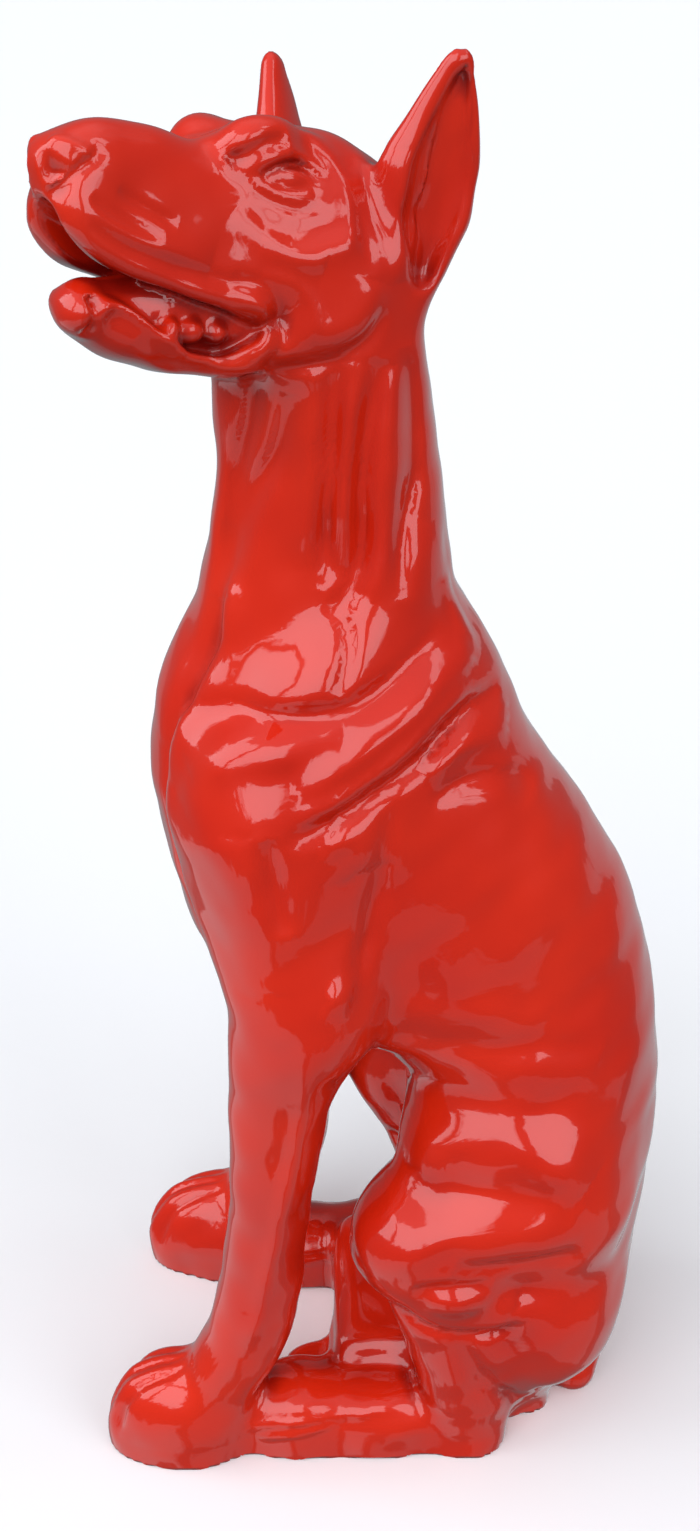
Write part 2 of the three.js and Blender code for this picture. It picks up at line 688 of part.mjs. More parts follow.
// Smallest-first queue of edges
class Queue {
  constructor() {
    this.items = [];
  }

  push(item) {
    const { items } = this;
    let i = items.push(item) - 1;
    while (i > 0) {
      const parent = (i - 1) >> 1;
      if (items[parent].cost <= item.cost) break;
      items[i] = items[parent];
      i = parent;
    }
    items[i] = item;
  }

  pop() {
    const { items } = this;
    const first = items[0];
    const last = items.pop();
    if (items.length === 0) return first;
    let i = 0;
    for (;;) {
      let child = 2 * i + 1;
      if (child >= items.length) break;
      if (child + 1 < items.length && items[child + 1].cost < items[child].cost) child += 1;
      if (items[child].cost >= last.cost) break;
      items[i] = items[child];
      i = child;
    }
    items[i] = last;
    return first;
  }
}

// Sum of squared distances to planes, kept as the ten numbers of a symmetric form
function addPlane(form, normal, point, weight) {
  const [a, b, c] = normal;
  const d = -dot(normal, point);
  const terms = [a * a, a * b, a * c, a * d, b * b, b * c, b * d, c * c, c * d, d * d];
  terms.forEach((term, n) => { form[n] += term * weight; });
}

function errorAt(q, [x, y, z]) {
  return q[0] * x * x + 2 * q[1] * x * y + 2 * q[2] * x * z + 2 * q[3] * x
    + q[4] * y * y + 2 * q[5] * y * z + 2 * q[6] * y + q[7] * z * z + 2 * q[8] * z + q[9];
}

// Point where the form is smallest
function lowestPoint(q) {
  const columns = [[q[0], q[1], q[2]], [q[1], q[4], q[5]], [q[2], q[5], q[7]]];
  const wanted = [-q[3], -q[6], -q[8]];
  const size = dot(columns[0], cross(columns[1], columns[2]));
  return [
    dot(wanted, cross(columns[1], columns[2])) / size,
    dot(columns[0], cross(wanted, columns[2])) / size,
    dot(columns[0], cross(columns[1], wanted)) / size,
  ];
}

// Thins the mesh to a number of triangles by closing up the edges that matter least
function thin({ points, triangles }, wanted) {
  const place = points.map((point) => [...point]);
  const forms = points.map(() => new Float64Array(10));
  const around = points.map(() => new Set());
  triangles.forEach((triangle, t) => {
    const corners = triangle.map((v) => place[v]);
    const normal = normalOf(...corners);
    const area = Math.hypot(...normal) || 1e-9;
    const unit = normal.map((value) => value / area);
    for (const v of triangle) {
      const weight = area * (place[v][2] > HEAD_FROM + 30 ? HEAD_KEEP : 1);
      addPlane(forms[v], unit, place[v], weight);
      for (const axis of [[1, 0, 0], [0, 1, 0], [0, 0, 1]]) {
        addPlane(forms[v], axis, place[v], weight * 1e-3);
      }
      around[v].add(t);
    }
  });
  const age = new Int32Array(points.length);
  const queue = new Queue();
  const neighbours = (v) => {
    const found = new Set();
    for (const t of around[v]) {
      triangles[t].forEach((w) => found.add(w));
    }
    found.delete(v);
    return found;
  };
  const offer = (v, w) => {
    const sum = forms[v].map((value, n) => value + forms[w][n]);
    const point = lowestPoint(sum);
    queue.push({ v, w, point, cost: errorAt(sum, point), ages: [age[v], age[w]] });
  };
  const holdsShape = (v, w, point) => {
    for (const t of around[v]) {
      if (triangles[t].includes(w)) continue;
      const before = triangles[t].map((n) => place[n]);
      const after = triangles[t].map((n) => (n === v ? point : place[n]));
      const old = normalOf(...before);
      const now = normalOf(...after);
      if (dot(old, now) < 0.3 * Math.hypot(...old) * Math.hypot(...now)) return false;
      const longest = Math.max(...[0, 1, 2].map((n) => Math.hypot(...minus(after[n], after[(n + 1) % 3]))));
      if (Math.hypot(...now) < 0.06 * longest * longest) return false;
    }
    return true;
  };
  points.forEach((point, v) => {
    for (const w of neighbours(v)) {
      if (v < w) offer(v, w);
    }
  });
  let left = triangles.length;
  while (left > wanted && queue.items.length > 0) {
    const { v, w, point, ages } = queue.pop();
    if (ages[0] !== age[v] || ages[1] !== age[w]) continue;
    const nextToV = neighbours(v);
    const shared = [...neighbours(w)].filter((n) => nextToV.has(n));
    if (shared.length !== 2) continue;
    if (!holdsShape(v, w, point) || !holdsShape(w, v, point)) continue;
    for (const t of [...around[w]]) {
      if (triangles[t].includes(v)) {
        for (const n of triangles[t]) around[n].delete(t);
        triangles[t] = [];
        left -= 1;
      } else {
        triangles[t] = triangles[t].map((n) => (n === w ? v : n));
        around[v].add(t);
      }
    }
    around[w].clear();
    place[v] = point;
    forms[v] = forms[v].map((value, n) => value + forms[w][n]);
    age[v] += 1;
    age[w] = -1;
    for (const n of neighbours(v)) offer(v, n);
  }
  return { points: place, triangles: triangles.filter((triangle) => triangle.length === 3) };
}

// Three.js geometry of the points that the triangles use
function toGeometry({ points, triangles }) {
  const geometry = new THREE.BufferGeometry();
  geometry.setAttribute('position', new THREE.Float32BufferAttribute(points.flat(), 3));
  geometry.setIndex(triangles.flat());
  return mergeVertices(geometry.toNonIndexed(), 1e-4);
}

const wasm = await Module();
wasm.setup();

function toSolid(geometry) {
  const mesh = new wasm.Mesh({
    numProp: 3,
    vertProperties: new Float32Array(geometry.getAttribute('position').array),
    triVerts: new Uint32Array(geometry.getIndex().array),
  });
  return new wasm.Manifold(mesh);
}

// Cuts everything below the ground away, which leaves a flat sole
function cutSole(geometry) {
  const slab = new THREE.BoxGeometry(600, 600, 100);
  slab.translate(0, 0, -50);
  slab.deleteAttribute('normal');
  slab.deleteAttribute('uv');
  const { vertProperties, triVerts } = toSolid(geometry)
    .subtract(toSolid(mergeVertices(slab)))
    .getMesh();
  const cut = new THREE.BufferGeometry();
  cut.setAttribute('position', new THREE.BufferAttribute(vertProperties, 3));
  cut.setIndex(new THREE.BufferAttribute(triVerts, 1));
  return cut;
}

const lattice = sampleLattice();
untangle(lattice);
const form = cutSole(toGeometry(thin(wrapSurface(lattice), TRIANGLES)));
form.translate(-BASE_X, -BASE_Y, 0);
form.computeVertexNormals();

const glaze = new THREE.MeshStandardMaterial({ color: GLAZE_RED, roughness: 0.06, metalness: 0 });
const dog = new THREE.Mesh(form, glaze);
dog.name = 'dog_figure';

const sculpture = new THREE.Group();
sculpture.name = 'dog_sculpture';
sculpture.add(dog);

export default sculpture;
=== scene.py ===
"""Looks of the seated guard dog: one cast figure in mirror-gloss red glaze, on a pale studio floor.

The form is an implicit surface, worked out in the model's millimetres from rows of levels, eggs,
rods and carved lines. It is sampled on a lattice, wrapped in a mesh, and set down in metres.
The dog faces -Y, its left side is +X, and Z = 0 is the ground.
"""
import math
from collections import namedtuple

import bpy
import numpy as np
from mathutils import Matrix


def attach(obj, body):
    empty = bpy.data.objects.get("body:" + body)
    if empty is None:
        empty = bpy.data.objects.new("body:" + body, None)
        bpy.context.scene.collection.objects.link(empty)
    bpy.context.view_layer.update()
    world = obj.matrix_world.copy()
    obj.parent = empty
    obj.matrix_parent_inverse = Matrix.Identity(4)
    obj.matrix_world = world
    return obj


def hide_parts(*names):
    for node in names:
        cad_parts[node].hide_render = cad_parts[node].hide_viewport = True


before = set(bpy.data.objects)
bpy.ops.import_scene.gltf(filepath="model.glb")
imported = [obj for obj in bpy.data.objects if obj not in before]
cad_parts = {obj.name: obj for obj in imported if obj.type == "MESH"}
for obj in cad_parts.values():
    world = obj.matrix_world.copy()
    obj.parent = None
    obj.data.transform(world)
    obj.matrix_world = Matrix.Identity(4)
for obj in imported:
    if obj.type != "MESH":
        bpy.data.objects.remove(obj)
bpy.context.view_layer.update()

single = np.float32
MM = 0.001
BASE = (0, 20, 0)  # the model's origin in the form's own millimetres

# An egg has a centre, three radii and a lean in degrees, a rod has two ends and a radius at each, and
# a slab stands on the ground. The fillet is how softly an egg or rod joins the forms before it.
# Their places are across, along and up: x, y and z on the body, and the head's own frame on the head
Egg = namedtuple("Egg", "centre radii fillet lean", defaults=(0, 0))
Rod = namedtuple("Rod", "start end start_radius end_radius fillet", defaults=(0,))
Slab = namedtuple("Slab", "centre half_sides top corner rim")

TRUNK = [  # height, front, back, half width, centre to the left
    (720, -46, 22, 38, 10), (690, -56, 28, 42, 7), (648, -69, 41, 46, 0), (602, -67, 46, 48, 0),
    (569, -73, 50, 50, 0), (536, -79, 54, 56, 0), (514, -85, 66, 62, 0), (496, -91, 79, 68, 0),
    (476, -97, 86, 75, 0), (455, -103, 95, 82, 0), (430, -106, 111, 86, 0), (392, -103, 138, 88, 0),
    (353, -93, 159, 87, 0), (320, -82, 170, 85, 0), (311, -64, 172, 85, 0), (299, -34, 174, 86, 0),
    (285, -8, 176, 87, 0), (267, 14, 180, 86, 0), (244, 32, 183, 80, 0), (218, 42, 184, 74, 0),
    (180, 52, 183, 70, 0), (100, 58, 176, 76, 0), (60, 60, 165, 78, 0), (20, 64, 140, 70, 0),
    (0, 66, 126, 62, 0)]
TRUNK_SPAN = (-30, 715)
TRUNK_SQUARENESS = 2.25
FORELEG = [  # height, front, back, half width, centre out from the middle
    (380, -74, 12, 36, 60), (350, -69, 14, 39, 74), (328, -66, 9, 38, 80), (306, -66, 2, 35, 83),
    (290, -66, -1, 32, 85), (268, -66, -7, 29, 85), (226, -68, -14, 26, 85), (183, -70, -21, 24, 85),
    (138, -75, -26, 24, 85), (114, -79, -29, 25, 84), (91, -86, -35, 25, 83), (70, -96, -44, 25, 82),
    (40, -106, -60, 25, 81), (0, -112, -76, 23, 80)]
FORELEG_SPAN = (-12, 372)
FORELEG_SQUARENESS = 2.3
FORELEG_FILLET = 16
COLUMN_ENDS = 14
# The right foreleg stands this far back, and the move sets in over a strip beside the middle
RIGHT_LEG_BACK = 14
RIGHT_LEG_FROM = 20
RIGHT_LEG_OVER = 50

SHOULDER = {
    "shoulder blade": Egg((50, -22, 427), (42, 58, 94), 26, lean=24),
    "upper arm": Rod((66, -44, 430), (82, -18, 318), 40, 32, 30),
    "breast": Egg((0, -60, 452), (50, 42, 60), 26),
}
HAUNCH = {
    "top of the thigh": Egg((54, 90, 219), (45, 58, 40)),
    "thigh": Rod((58, 118, 172), (83, 36, 163), 45, 36, 44),
    "shank": Rod((80, 54, 140), (74, 72, 40), 36, 28, 16),
    "calf": Egg((86, 78, 120), (24, 32, 16), 8, lean=-14),
    "buttock": Egg((63, 117, 98), (42, 44, 56), 24),
}
HAUNCH_FILLET = 22

# Heights near the ground count for this share, which keeps a sole full
GROUND_SHARE = 0.35
FOREPAW = {
    "paw": Egg((80, -105, 18), (28, 44, 38)),
    "knuckles": Egg((81, -98, 38), (25, 38, 24), 14),
}
FOREPAW_GROUNDED = 16
FOREPAW_FILLET = 10
# Of the right leg's shift, the paw takes this much outwards and this much back
RIGHT_PAW_OUT = 0.4
RIGHT_PAW_BACK = 0.75
TOE_MIDDLE = 80
TOE_SPREAD = 11
TOE_FAN = 0.012
TOE_FAN_FROM = -119
TOE_GROOVE_WIDTH = 3.4
TOE_GROOVE_DEPTH = 2.4
TOE_GROOVES_ALONG = (-87, -113)
TOE_GROOVES_UP = (8, 34)
HIND_FOOT = {
    "heel": Rod((76, 74, 16), (77, 16, 20), 22, 21),
    "instep": Rod((77, 20, 20), (74, -22, 21), 21, 23, 14),
    "knuckles": Egg((73, -28, 18), (25, 32, 24), 10),
    "toes": Rod((74, -40, 20), (76, -92, 22), 24, 20, 12),
}
HIND_FOOT_GROUNDED = 20
HIND_FOOT_FILLET = 10
SEAT_BLOCK = Slab((0, 58), (64, 68), top=60, corner=16, rim=16)
SEAT_APRON = Slab((42, 10), (34, 54), top=14, corner=20, rim=10)
SEAT_RODS = {
    "docked tail": Rod((0, 150, 40), (32, 141, 10), 22, 15, 12),
    "web under the left toes": Rod((72, -68, 6), (73, -30, 6), 14, 17, 8),
}
APRON_FILLET = 14
SEAT_FILLET = 12

# The head has a frame of its own: sideways to the left, forward and up from a point between the eyes
HEAD_CENTRE = (20, -50, 742)
YAW, PITCH, ROLL = np.radians([40.0, 12, 6])
HEAD_FILLET = 16
SKULL = [  # forward, top, lip line, half width
    (124, 1, -16, 10), (113, 8.5, -24, 15), (103, 14.5, -31, 18), (92, 18.5, -38, 20.5),
    (84, 19.5, -43, 22), (74, 19.5, -46, 23), (52, 18, -50, 26), (33, 15.5, -54, 29), (20, 19.5, -59, 33),
    (6, 26, -63, 37.5), (-13, 29, -67, 42), (-36, 30, -70, 44), (-49, 28, -70, 44), (-62, 22, -62, 43),
    (-84, 10, -50, 35), (-100, 0, -44, 27)]
SKULL_SQUARENESS = 2.3
SKULL_BACK = -92
SKULL_ENDS = 14
# The skull is broadest at a rise above its lip line, higher on the muzzle and at the back of the head
BROADEST_RISE = 14
BROADEST_RISE_MUZZLE = 10
BROADEST_RISE_BACK = 0.15
BROADEST_AT_MOST = 0.55
MUZZLE_FROM = (20, 50)
BACK_FROM = 20
BACK_OVER = 40
# Its lower edge is sharp along the lips and gets softer behind them
LIP_EDGE = 4
LIP_EDGE_BACK = 26
SOFT_EDGE_FROM = 24
SOFT_EDGE_OVER = 30
# The front of the nose is a plane that leans back as it goes down
NOSE_FRONT = 116.5
NOSE_LEAN = 0.36
PALATE = Rod((0, 106, -26), (0, 12, -62), 8, 19, 5)
BROW = {"brow": Egg((19, 9, 15), (15, 19, 14), 10)}
JAW = [  # forward, lip line, bottom, half width
    (100, -54, -62, 10), (92, -54, -73, 14.5), (84, -55, -76.5, 17.5), (74, -58, -80, 20),
    (60, -68, -84, 22.5), (40, -76, -88.5, 26), (20, -76, -89, 29.5), (10, -71, -88.5, 31.5),
    (-2, -61, -87.5, 34), (-20, -54, -85, 36.5), (-45, -42, -78, 37), (-60, -36, -66, 34)]
JAW_SQUARENESS = 2.4
JAW_BROADEST = 0.2
JAW_DEPTH = 0.7
JAW_RIM = 5
JAW_SPAN = (-60, 98)
JAW_ENDS = 12
JAW_FILLET = 6
TONGUE = {
    "root": Rod((0, 10, -62), (0, 50, -60), 24, 17),
    "blade": Rod((0, 50, -60), (2, 82, -59), 17, 12, 10),
    "tip": Egg((6, 89, -63), (15, 11, 11.5), 8),
}
MOLARS = {
    "front molar": Egg((19, 51, -68), (6.5, 5, 6), 4),
    "middle molar": Egg((19, 39, -68), (6.5, 7.5, 6), 4),
    "back molar": Egg((19, 25, -68), (6.5, 6, 6), 4),
}
TONGUE_FILLET = 4
FACE = {
    "cheek": Egg((20, -45, -30), (26, 38, 40), 12),
    "eye": Egg((25.3, -6, 2.5), (9, 10, 6.5), 3),
}

EAR = [  # distance up the ear, half width, half thickness
    (-44, 6, 12), (-30, 12, 14), (-10, 18, 13), (15, 24, 12), (40, 24, 10), (62, 17, 7), (76, 11.5, 5.5),
    (86, 7.5, 4.5), (92, 5, 3.5)]
EAR_ROOT = np.array([44.5, -70, -20])
EAR_TIP = np.array([69.0, -66, 68])
EAR_ACROSS = np.array([-0.47, 0.88, 0.0])
EAR_SQUARENESS = 2.2
EAR_FOOT = -44
EAR_ENDS = 8
EAR_FILLET = 8
# The scoop in the front of an ear, in millimetres and in shares of the ear's half thickness
SCOOP_FOOT = -18
SCOOP_SHIFT = 3.5
SCOOP_RIM = 8
SCOOP_LEAST_WIDTH = 1.5
SCOOP_OUT = 1.15
SCOOP_DEPTH = 1.25
SCOOP_EDGE = 5
# Ribs that run up inside the scoop: place across the ear, width, share of the height
EAR_RIBS = [(-6, 2.6, 1), (2, 2.4, 0.8)]
EAR_RIB_HEIGHT = 2.4
EAR_RIBS_FROM = (-14, 4)
EAR_RIBS_UP_TO = (-70, -48)
EAR_RIBS_IN_FRONT = (0, 3)

# Carved lines seen from the side, as width, height (cuts are below zero) and path of (back, up) points
FLANK_LINES = {
    "throat fold": (6, -5.5, [(-44, 664), (-47, 640), (-53, 612), (-60, 580), (-68, 540)]),
    "second throat fold": (5.5, -5, [(-30, 650), (-35, 622), (-46, 598), (-54, 576), (-60, 546)]),
    "neck band groove": (6, -5.2, [(-6, 668), (-8, 640), (-9, 610), (-12, 580), (-10, 552)]),
    "neck back groove": (6, -5.4, [(15, 665), (9, 640), (5, 604), (6, 575), (0, 550), (-12, 538)]),
    "nape groove": (5, -4, [(27, 668), (30, 635), (30, 604), (25, 574), (26, 545)]),
    "first neck band": (7, 2.5, [(-16, 664), (-18, 630), (-19, 595), (-20, 560)]),
    "second neck band": (7, 3.4, [(3, 664), (0, 630), (-3, 595), (-3, 562)]),
    "third neck band": (8, 4, [(22, 660), (19, 630), (17, 598), (16, 570), (6, 549)]),
    "scapula band": (18, 5.5, [(-94, 452), (-56, 488), (-16, 515), (24, 545), (44, 578)]),
    "scapula notch": (4.5, -3, [(-2, 540), (-1, 523), (-6, 504)]),
    "shoulder groove": (6.5, -4.8, [(-88, 480), (-64, 491), (-38, 494), (-10, 496), (16, 505), (46, 527)]),
    "shoulder roll": (9, 2.6, [(-84, 464), (-60, 476), (-30, 481), (-4, 485)]),
    "fold roll": (10, 5.5, [(-26, 462), (-2, 474), (24, 490), (46, 505), (62, 512)]),
    "second roll": (6, 3, [(-28, 448), (2, 459), (26, 474), (46, 489), (62, 498)]),
    "main fold": (6, -6.5, [(-34, 436), (-8, 445), (16, 458), (35, 469), (50, 480), (64, 486), (80, 484)]),
    "lens fold": (8, 4.5, [(38, 460), (58, 472), (84, 470)]),
    "lens crease": (5, -3, [(40, 446), (60, 452), (84, 446), (98, 432)]),
    "withers edge": (6, 3, [(50, 550), (59, 528), (64, 504)]),
    "upper arm": (12, 3.4, [(-10, 440), (4, 432), (8, 414)]),
    "arm and rib groove": (6, -3, [(23, 456), (18, 428), (14, 402), (9, 378), (5, 358), (6, 326)]),
    "brisket groove": (5.5, -3.5, [(-42, 440), (-38, 414), (-33, 386)]),
    "arm front plane": (14, 3, [(-58, 440), (-50, 400), (-44, 350)]),
    "elbow knot": (9, 2, [(-12, 350), (2, 346)]),
    "belly roll": (9, 2, [(28, 322), (56, 321), (84, 318), (108, 310)]),
    "belly crease": (9, -3, [(18, 306), (48, 300), (80, 296), (112, 294), (138, 284)]),
    "foreleg edge": (5.5, 3, [(-21, 312), (-26, 262), (-36, 212), (-44, 170), (-52, 128), (-62, 92)]),
    "foreleg plane": (7, -3, [(-9, 296), (-14, 250), (-24, 200), (-31, 150), (-38, 112)]),
    "thigh crest": (15, 4.5, [(34, 214), (46, 235), (68, 243), (92, 241), (114, 229), (134, 210)]),
    "thigh valley": (12, -3.4, [(24, 194), (50, 206), (78, 210), (104, 207), (128, 195)]),
    "knee crest": (15, 4, [(4, 164), (22, 178), (46, 186), (76, 186), (102, 180), (126, 168)]),
    "knee crease": (6.5, -3.4, [(58, 169), (76, 166), (96, 164), (118, 165), (134, 162)]),
    "calf lump": (11, 3.4, [(42, 143), (68, 140), (96, 131)]),
    "calf crease": (5, -3.5, [(34, 152), (56, 155), (80, 151)]),
    "hock crease": (5.5, -4.5, [(24, 132), (40, 119), (62, 112), (84, 109), (100, 120)]),
    "buttock crease": (6, -4.5, [(63, 112), (70, 90), (77, 72), (88, 52), (104, 30)]),
    "foot crest": (4.5, 2, [(-58, 34), (-32, 39), (-8, 37), (16, 38), (38, 40)]),
    "upper toe": (3.4, 2, [(-62, 24), (-46, 30), (-26, 32), (-4, 33), (14, 35)]),
    "lower toe": (3.2, 1.7, [(-56, 16), (-40, 22), (-22, 25), (-4, 29)]),
}
# Lines of the chest seen from the front, as width, height and path of (out, up) points
CHEST_LINES = {
    "breast groove": (6, -4.5, [(26, 580), (34, 530), (40, 486), (44, 452), (52, 420), (62, 384),
                                (64, 350)]),
    "breast edge": (8, 3, [(40, 560), (50, 520), (56, 484), (60, 452), (68, 420)]),
}
# Lines of the head seen from its side, as width, height and path of (forward, up) points
NOSE_LINES = {
    "nose pad crease": (2.6, -2, [(90, 6), (97, 0), (103, -6), (108, -13), (113, -17)]),
    "nose rim": (3, 1.3, [(114, 9), (108, 8), (99, 4), (93, 0)]),
    "nostril": (3.4, -4.5, [(117, 2), (112, -3), (107, -8)]),
}
LIP_LINES = {
    "whisker bed": (9, 3.8, [(108, -18), (94, -23), (78, -29), (58, -33), (36, -38)]),
    "whisker fold": (3.2, -1.6, [(97, -14), (87, -20), (74, -25), (62, -29)]),
    "second whisker fold": (3, -1.4, [(84, -10), (74, -15), (64, -19), (54, -22)]),
    "lip roll": (3.6, 2, [(106, -24), (94, -33), (78, -40), (56, -46), (36, -50), (20, -53), (8, -58)]),
    "lip groove": (3.2, -1.3, [(98, -25), (80, -33), (56, -39), (34, -43), (14, -45)]),
    "corner fold": (3.4, 1.4, [(28, -48), (15, -52), (7, -60), (5, -70), (9, -80)]),
    "corner groove": (3.2, -1.5, [(26, -41), (11, -45), (-1, -55), (-4, -70), (1, -82)]),
    "outer corner fold": (3.8, 1.1, [(12, -39), (-3, -43), (-12, -54), (-14, -70)]),
    "lower lip": (3.4, 2.6, [(90, -67), (85, -60), (77, -59), (67, -64), (56, -72), (42, -78)]),
    "tongue notch": (3, -3.6, [(91, -55), (89, -64), (90, -78)]),
    "lower lip groove": (3.4, -2.4, [(68, -72), (56, -78), (44, -82), (28, -82), (8, -77)]),
    "jaw line": (4.5, -3, [(12, -78), (-10, -80), (-28, -77), (-42, -66), (-49, -50)]),
    "cheek": (9, 3, [(-6, -66), (-24, -65), (-36, -54), (-40, -38)]),
}
EYE_LINES = {
    "upper lid crease": (2.4, -2.4, [(13, 2), (6, 7), (-2, 9.5), (-11, 8.5), (-20, 3)]),
    "upper lid": (3.2, 0.8, [(10, 12), (-2, 14.5), (-13, 12), (-22, 5)]),
    "lower lid": (2.2, 1.1, [(18, 1), (9, -3), (-3, -5), (-14, -3)]),
    "lower lid crease": (2.4, -0.6, [(17, -5), (6, -9), (-6, -11), (-18, -8)]),
    "brow dent": (4.2, -3.4, [(27, 6), (19, 12), (10, 17), (0, 19)]),
    "brow ring": (7, 2.2, [(24, 24), (4, 29), (-16, 25), (-28, 10), (-30, -8), (-22, -23), (-4, -29),
                           (14, -25)]),
    "temple crease": (5, -1, [(-31, 16), (-33, 0), (-35, -18), (-38, -36)]),
    "ear strip": (5.5, 1.8, [(-46, 20), (-49, 2), (-52, -18), (-56, -38)]),
    "cheekbone": (6, 2, [(26, -14), (6, -30), (-16, -34)]),
}
# The right side repeats the lines of the left one at this share of their height
FAR_SIDE_DEPTH = 0.7
CURVE_STEPS = 5
# How many of its widths a line reaches, and the distance that the search for its nearest part starts at
LINE_REACH = 2.6
FAR_OFF = 1e9
# Distances from the middle over which each set of lines sets in
FLANK_LINES_FROM = (12, 30)
CHEST_LINES_FROM = (46, 64)
NOSE_LINES_FROM = (4, 9)
LIP_LINES_FROM = (7, 14)
EYE_LINES_FROM = (14, 24)
# Lines of the head set in over these heights of its own frame, and only above a height of the dog
HEAD_LINES_UP_FROM = (-96, -86)
HEAD_LINES_ABOVE = 610
# Waver of the surface: length of the wave, height, tilt and turn of its direction, phase
WAVES = [
    (72, 0.5, 28, 75, 0.4), (58, 0.42, -41, 98, 2.1), (47, 0.34, 12, 20, 4.0), (39, 0.26, 63, -50, 1.2),
    (31, 0.2, -20, 118, 5.3), (26, 0.15, 38, 62, 3.1), (21, 0.1, -58, 84, 0.9)]
# Heights that the feet and the head stay below and above, and how near the surface lines are carved
FEET_BELOW = 130
HEAD_ABOVE = 560
CARVED_WITHIN = 25
# Guards that keep the middle of an egg or a section from dividing by zero
EGG_LEAST_STEEP = 1e-6
SECTION_LEAST_NEAR = 1e-3
SECTION_LEAST_STEEP = 3

# Sampling of the form: cell sizes over the body, the head and the feet, in millimetres
BODY_CELL = 4.2
HEAD_CELL = 1.9
FOOT_CELL = 3.0
HEAD_CELLS_FROM = (600, 650)
FOOT_CELLS_BELOW = (-110, -70)
REACH_X = (-128, 128)
REACH_Y = (-172, 212)
REACH_Z = (-8, 815)
# The form is first sampled in blocks of this many cells a side. A block is then sampled point by point
# if the surface comes nearer to its corners than this share of its diagonal
BLOCK = 4
BLOCK_MARGIN = 0.75
PORTION = 300000
CORNERS = [(a, b, c) for a in (0, 1) for b in (0, 1) for c in (0, 1)]
FACE_CORNERS = [(0, 0), (1, 0), (1, 1), (0, 1)]
UNTANGLE_ROUNDS = 4
JUST_INSIDE = -0.01
CROSSING_GUARD = 1e-12
# Slopes are measured over a small step, and points are moved along them until they lie on the surface
SLOPE_CORNERS = [[1, -1, -1], [-1, -1, 1], [-1, 1, -1], [1, 1, 1]]
SLOPE_STEP = 0.35
NORMAL_STEP = 0.5
LEAST_SLOPE = 0.3
SETTLE_ROUNDS = 2
SETTLE_LIMIT = 2.0
SETTLE_GUARD = 1e-9
# How far outside the surface the form is felt for hollows
RECESS_REACH = 9.0

# Red glaze: colours where it is thin and full, a painted shade that darkens it in hollows, its gloss, and
# how far its depth and gloss waver
THIN_GLAZE = (0.58, 0.0135, 0.0028, 1)
FULL_GLAZE = (0.71, 0.023, 0.0044, 1)
# Painted shade: the darker red that is mixed in where the surface lies deep in a hollow
HOLLOW_SHADE_COLOUR = (0.3, 0.006, 0.0024, 1)
GLAZE_FINISH = {"Roughness": 0.35, "Specular IOR Level": 0.1, "Coat Weight": 1.0,
                "Coat Roughness": 0.025, "Coat IOR": 1.5}
GLAZE_DRIFT = {"Scale": 9.0, "Detail": 3.0, "Roughness": 0.55}
THIN_BELOW = 0.3
FULL_ABOVE = 0.72
# Depths of recess over which the painted shade in hollows sets in
HOLLOW_SHADE_RANGE = {"From Min": 0.12, "From Max": 0.85}
GLAZE_WAVER = {"Scale": 22.0, "Detail": 3.0, "Roughness": 0.45}
GLAZE_BUMP = {"Strength": 0.25, "Distance": 0.002}
# The Mix node has sockets of one name for each kind of data, so those for colours go by number
MIX_FACTOR = 0
MIX_FIRST = 6
MIX_SECOND = 7
MIX_RESULT = 2

# Studio: a floor of this many metres, and a sky of bright openings in a dull room
FLOOR_SIZE = 28
FLOOR_FINISH = {"Base Color": (0.92, 0.92, 0.92, 1), "Roughness": 0.8, "Specular IOR Level": 0.1}
SKY_OPENINGS = [  # azimuths from and to, heights from and to, brightness
    (-108, -62, 16, 60, 3.1), (-54, 10, 15, 62, 3.1), (22, 60, 9, 46, 3.0), (60, 72, 27, 50, 3.0),
    (80, 98, 45, 60, 2.6), (-125, -10, -62, -24, 0.8), (0, 84, -62, -26, 0.42),
    (104, 190, -64, -6, 0.5), (-190, -130, -64, -6, 0.32)]
OPENING_SIDE_EDGE = 2.0
OPENING_TOP_EDGE = 1.5
RAGGED = {"Scale": 5.0, "Detail": 6.0, "Roughness": 0.6}
RAGGED_DEPTH = 26
ROOM_LEVEL = 0.16
# The ceiling adds this much to the room's level, from a height in degrees to past the zenith
CEILING_LEVEL = 0.5
CEILING_FROM = 52
CEILING_TO = 200
CEILING_EDGE = 12
SKY_TINT = {"Red": 0.97, "Green": 1.0, "Blue": 1.05}

# Camera: place and aim in millimetres, focal length and photo height in pixels, sensor in
# millimetres, and the furthest that it sees in metres
CAMERA_AT = (913, -20, 900)
CAMERA_AIM = (13, -20, 433)
FOCAL = 1860
PHOTO_HEIGHT = 1531
SENSOR = 36
CLIP_END = 60


def merge(a, b, width):
    """Joins two forms with a soft fillet of the given width"""
    near = np.maximum(width - np.abs(a - b), 0) / width
    return np.minimum(a, b) - near * near * width * 0.25


def share(a, b, width):
    """Keeps what two forms share, with a soft edge"""
    return -merge(-a, -b, width)


def scoop(a, b, width):
    """Scoops the second form out of the first, with a soft edge"""
    return -merge(-a, b, width)


def smooth(value, low, high):
    """0 at the first limit, 1 at the second, and a smooth rise between them"""
    part = np.clip((value - low) / (high - low), 0, 1)
    return part * part * (3 - 2 * part)


def egg(x, y, z, form):
    """Distance to an egg: exact on its surface and roughly right away from it"""
    x = x - single(form.centre[0])
    y = y - single(form.centre[1])
    z = z - single(form.centre[2])
    if form.lean:
        cosine = single(np.cos(np.radians(form.lean)))
        sine = single(np.sin(np.radians(form.lean)))
        y, z = y * cosine - z * sine, y * sine + z * cosine
    wide, deep, high = [single(radius) for radius in form.radii]
    near = np.sqrt((x / wide) ** 2 + (y / deep) ** 2 + (z / high) ** 2)
    steep = np.sqrt((x / wide ** 2) ** 2 + (y / deep ** 2) ** 2 + (z / high ** 2) ** 2)
    return near * (near - 1) / np.maximum(steep, EGG_LEAST_STEEP)


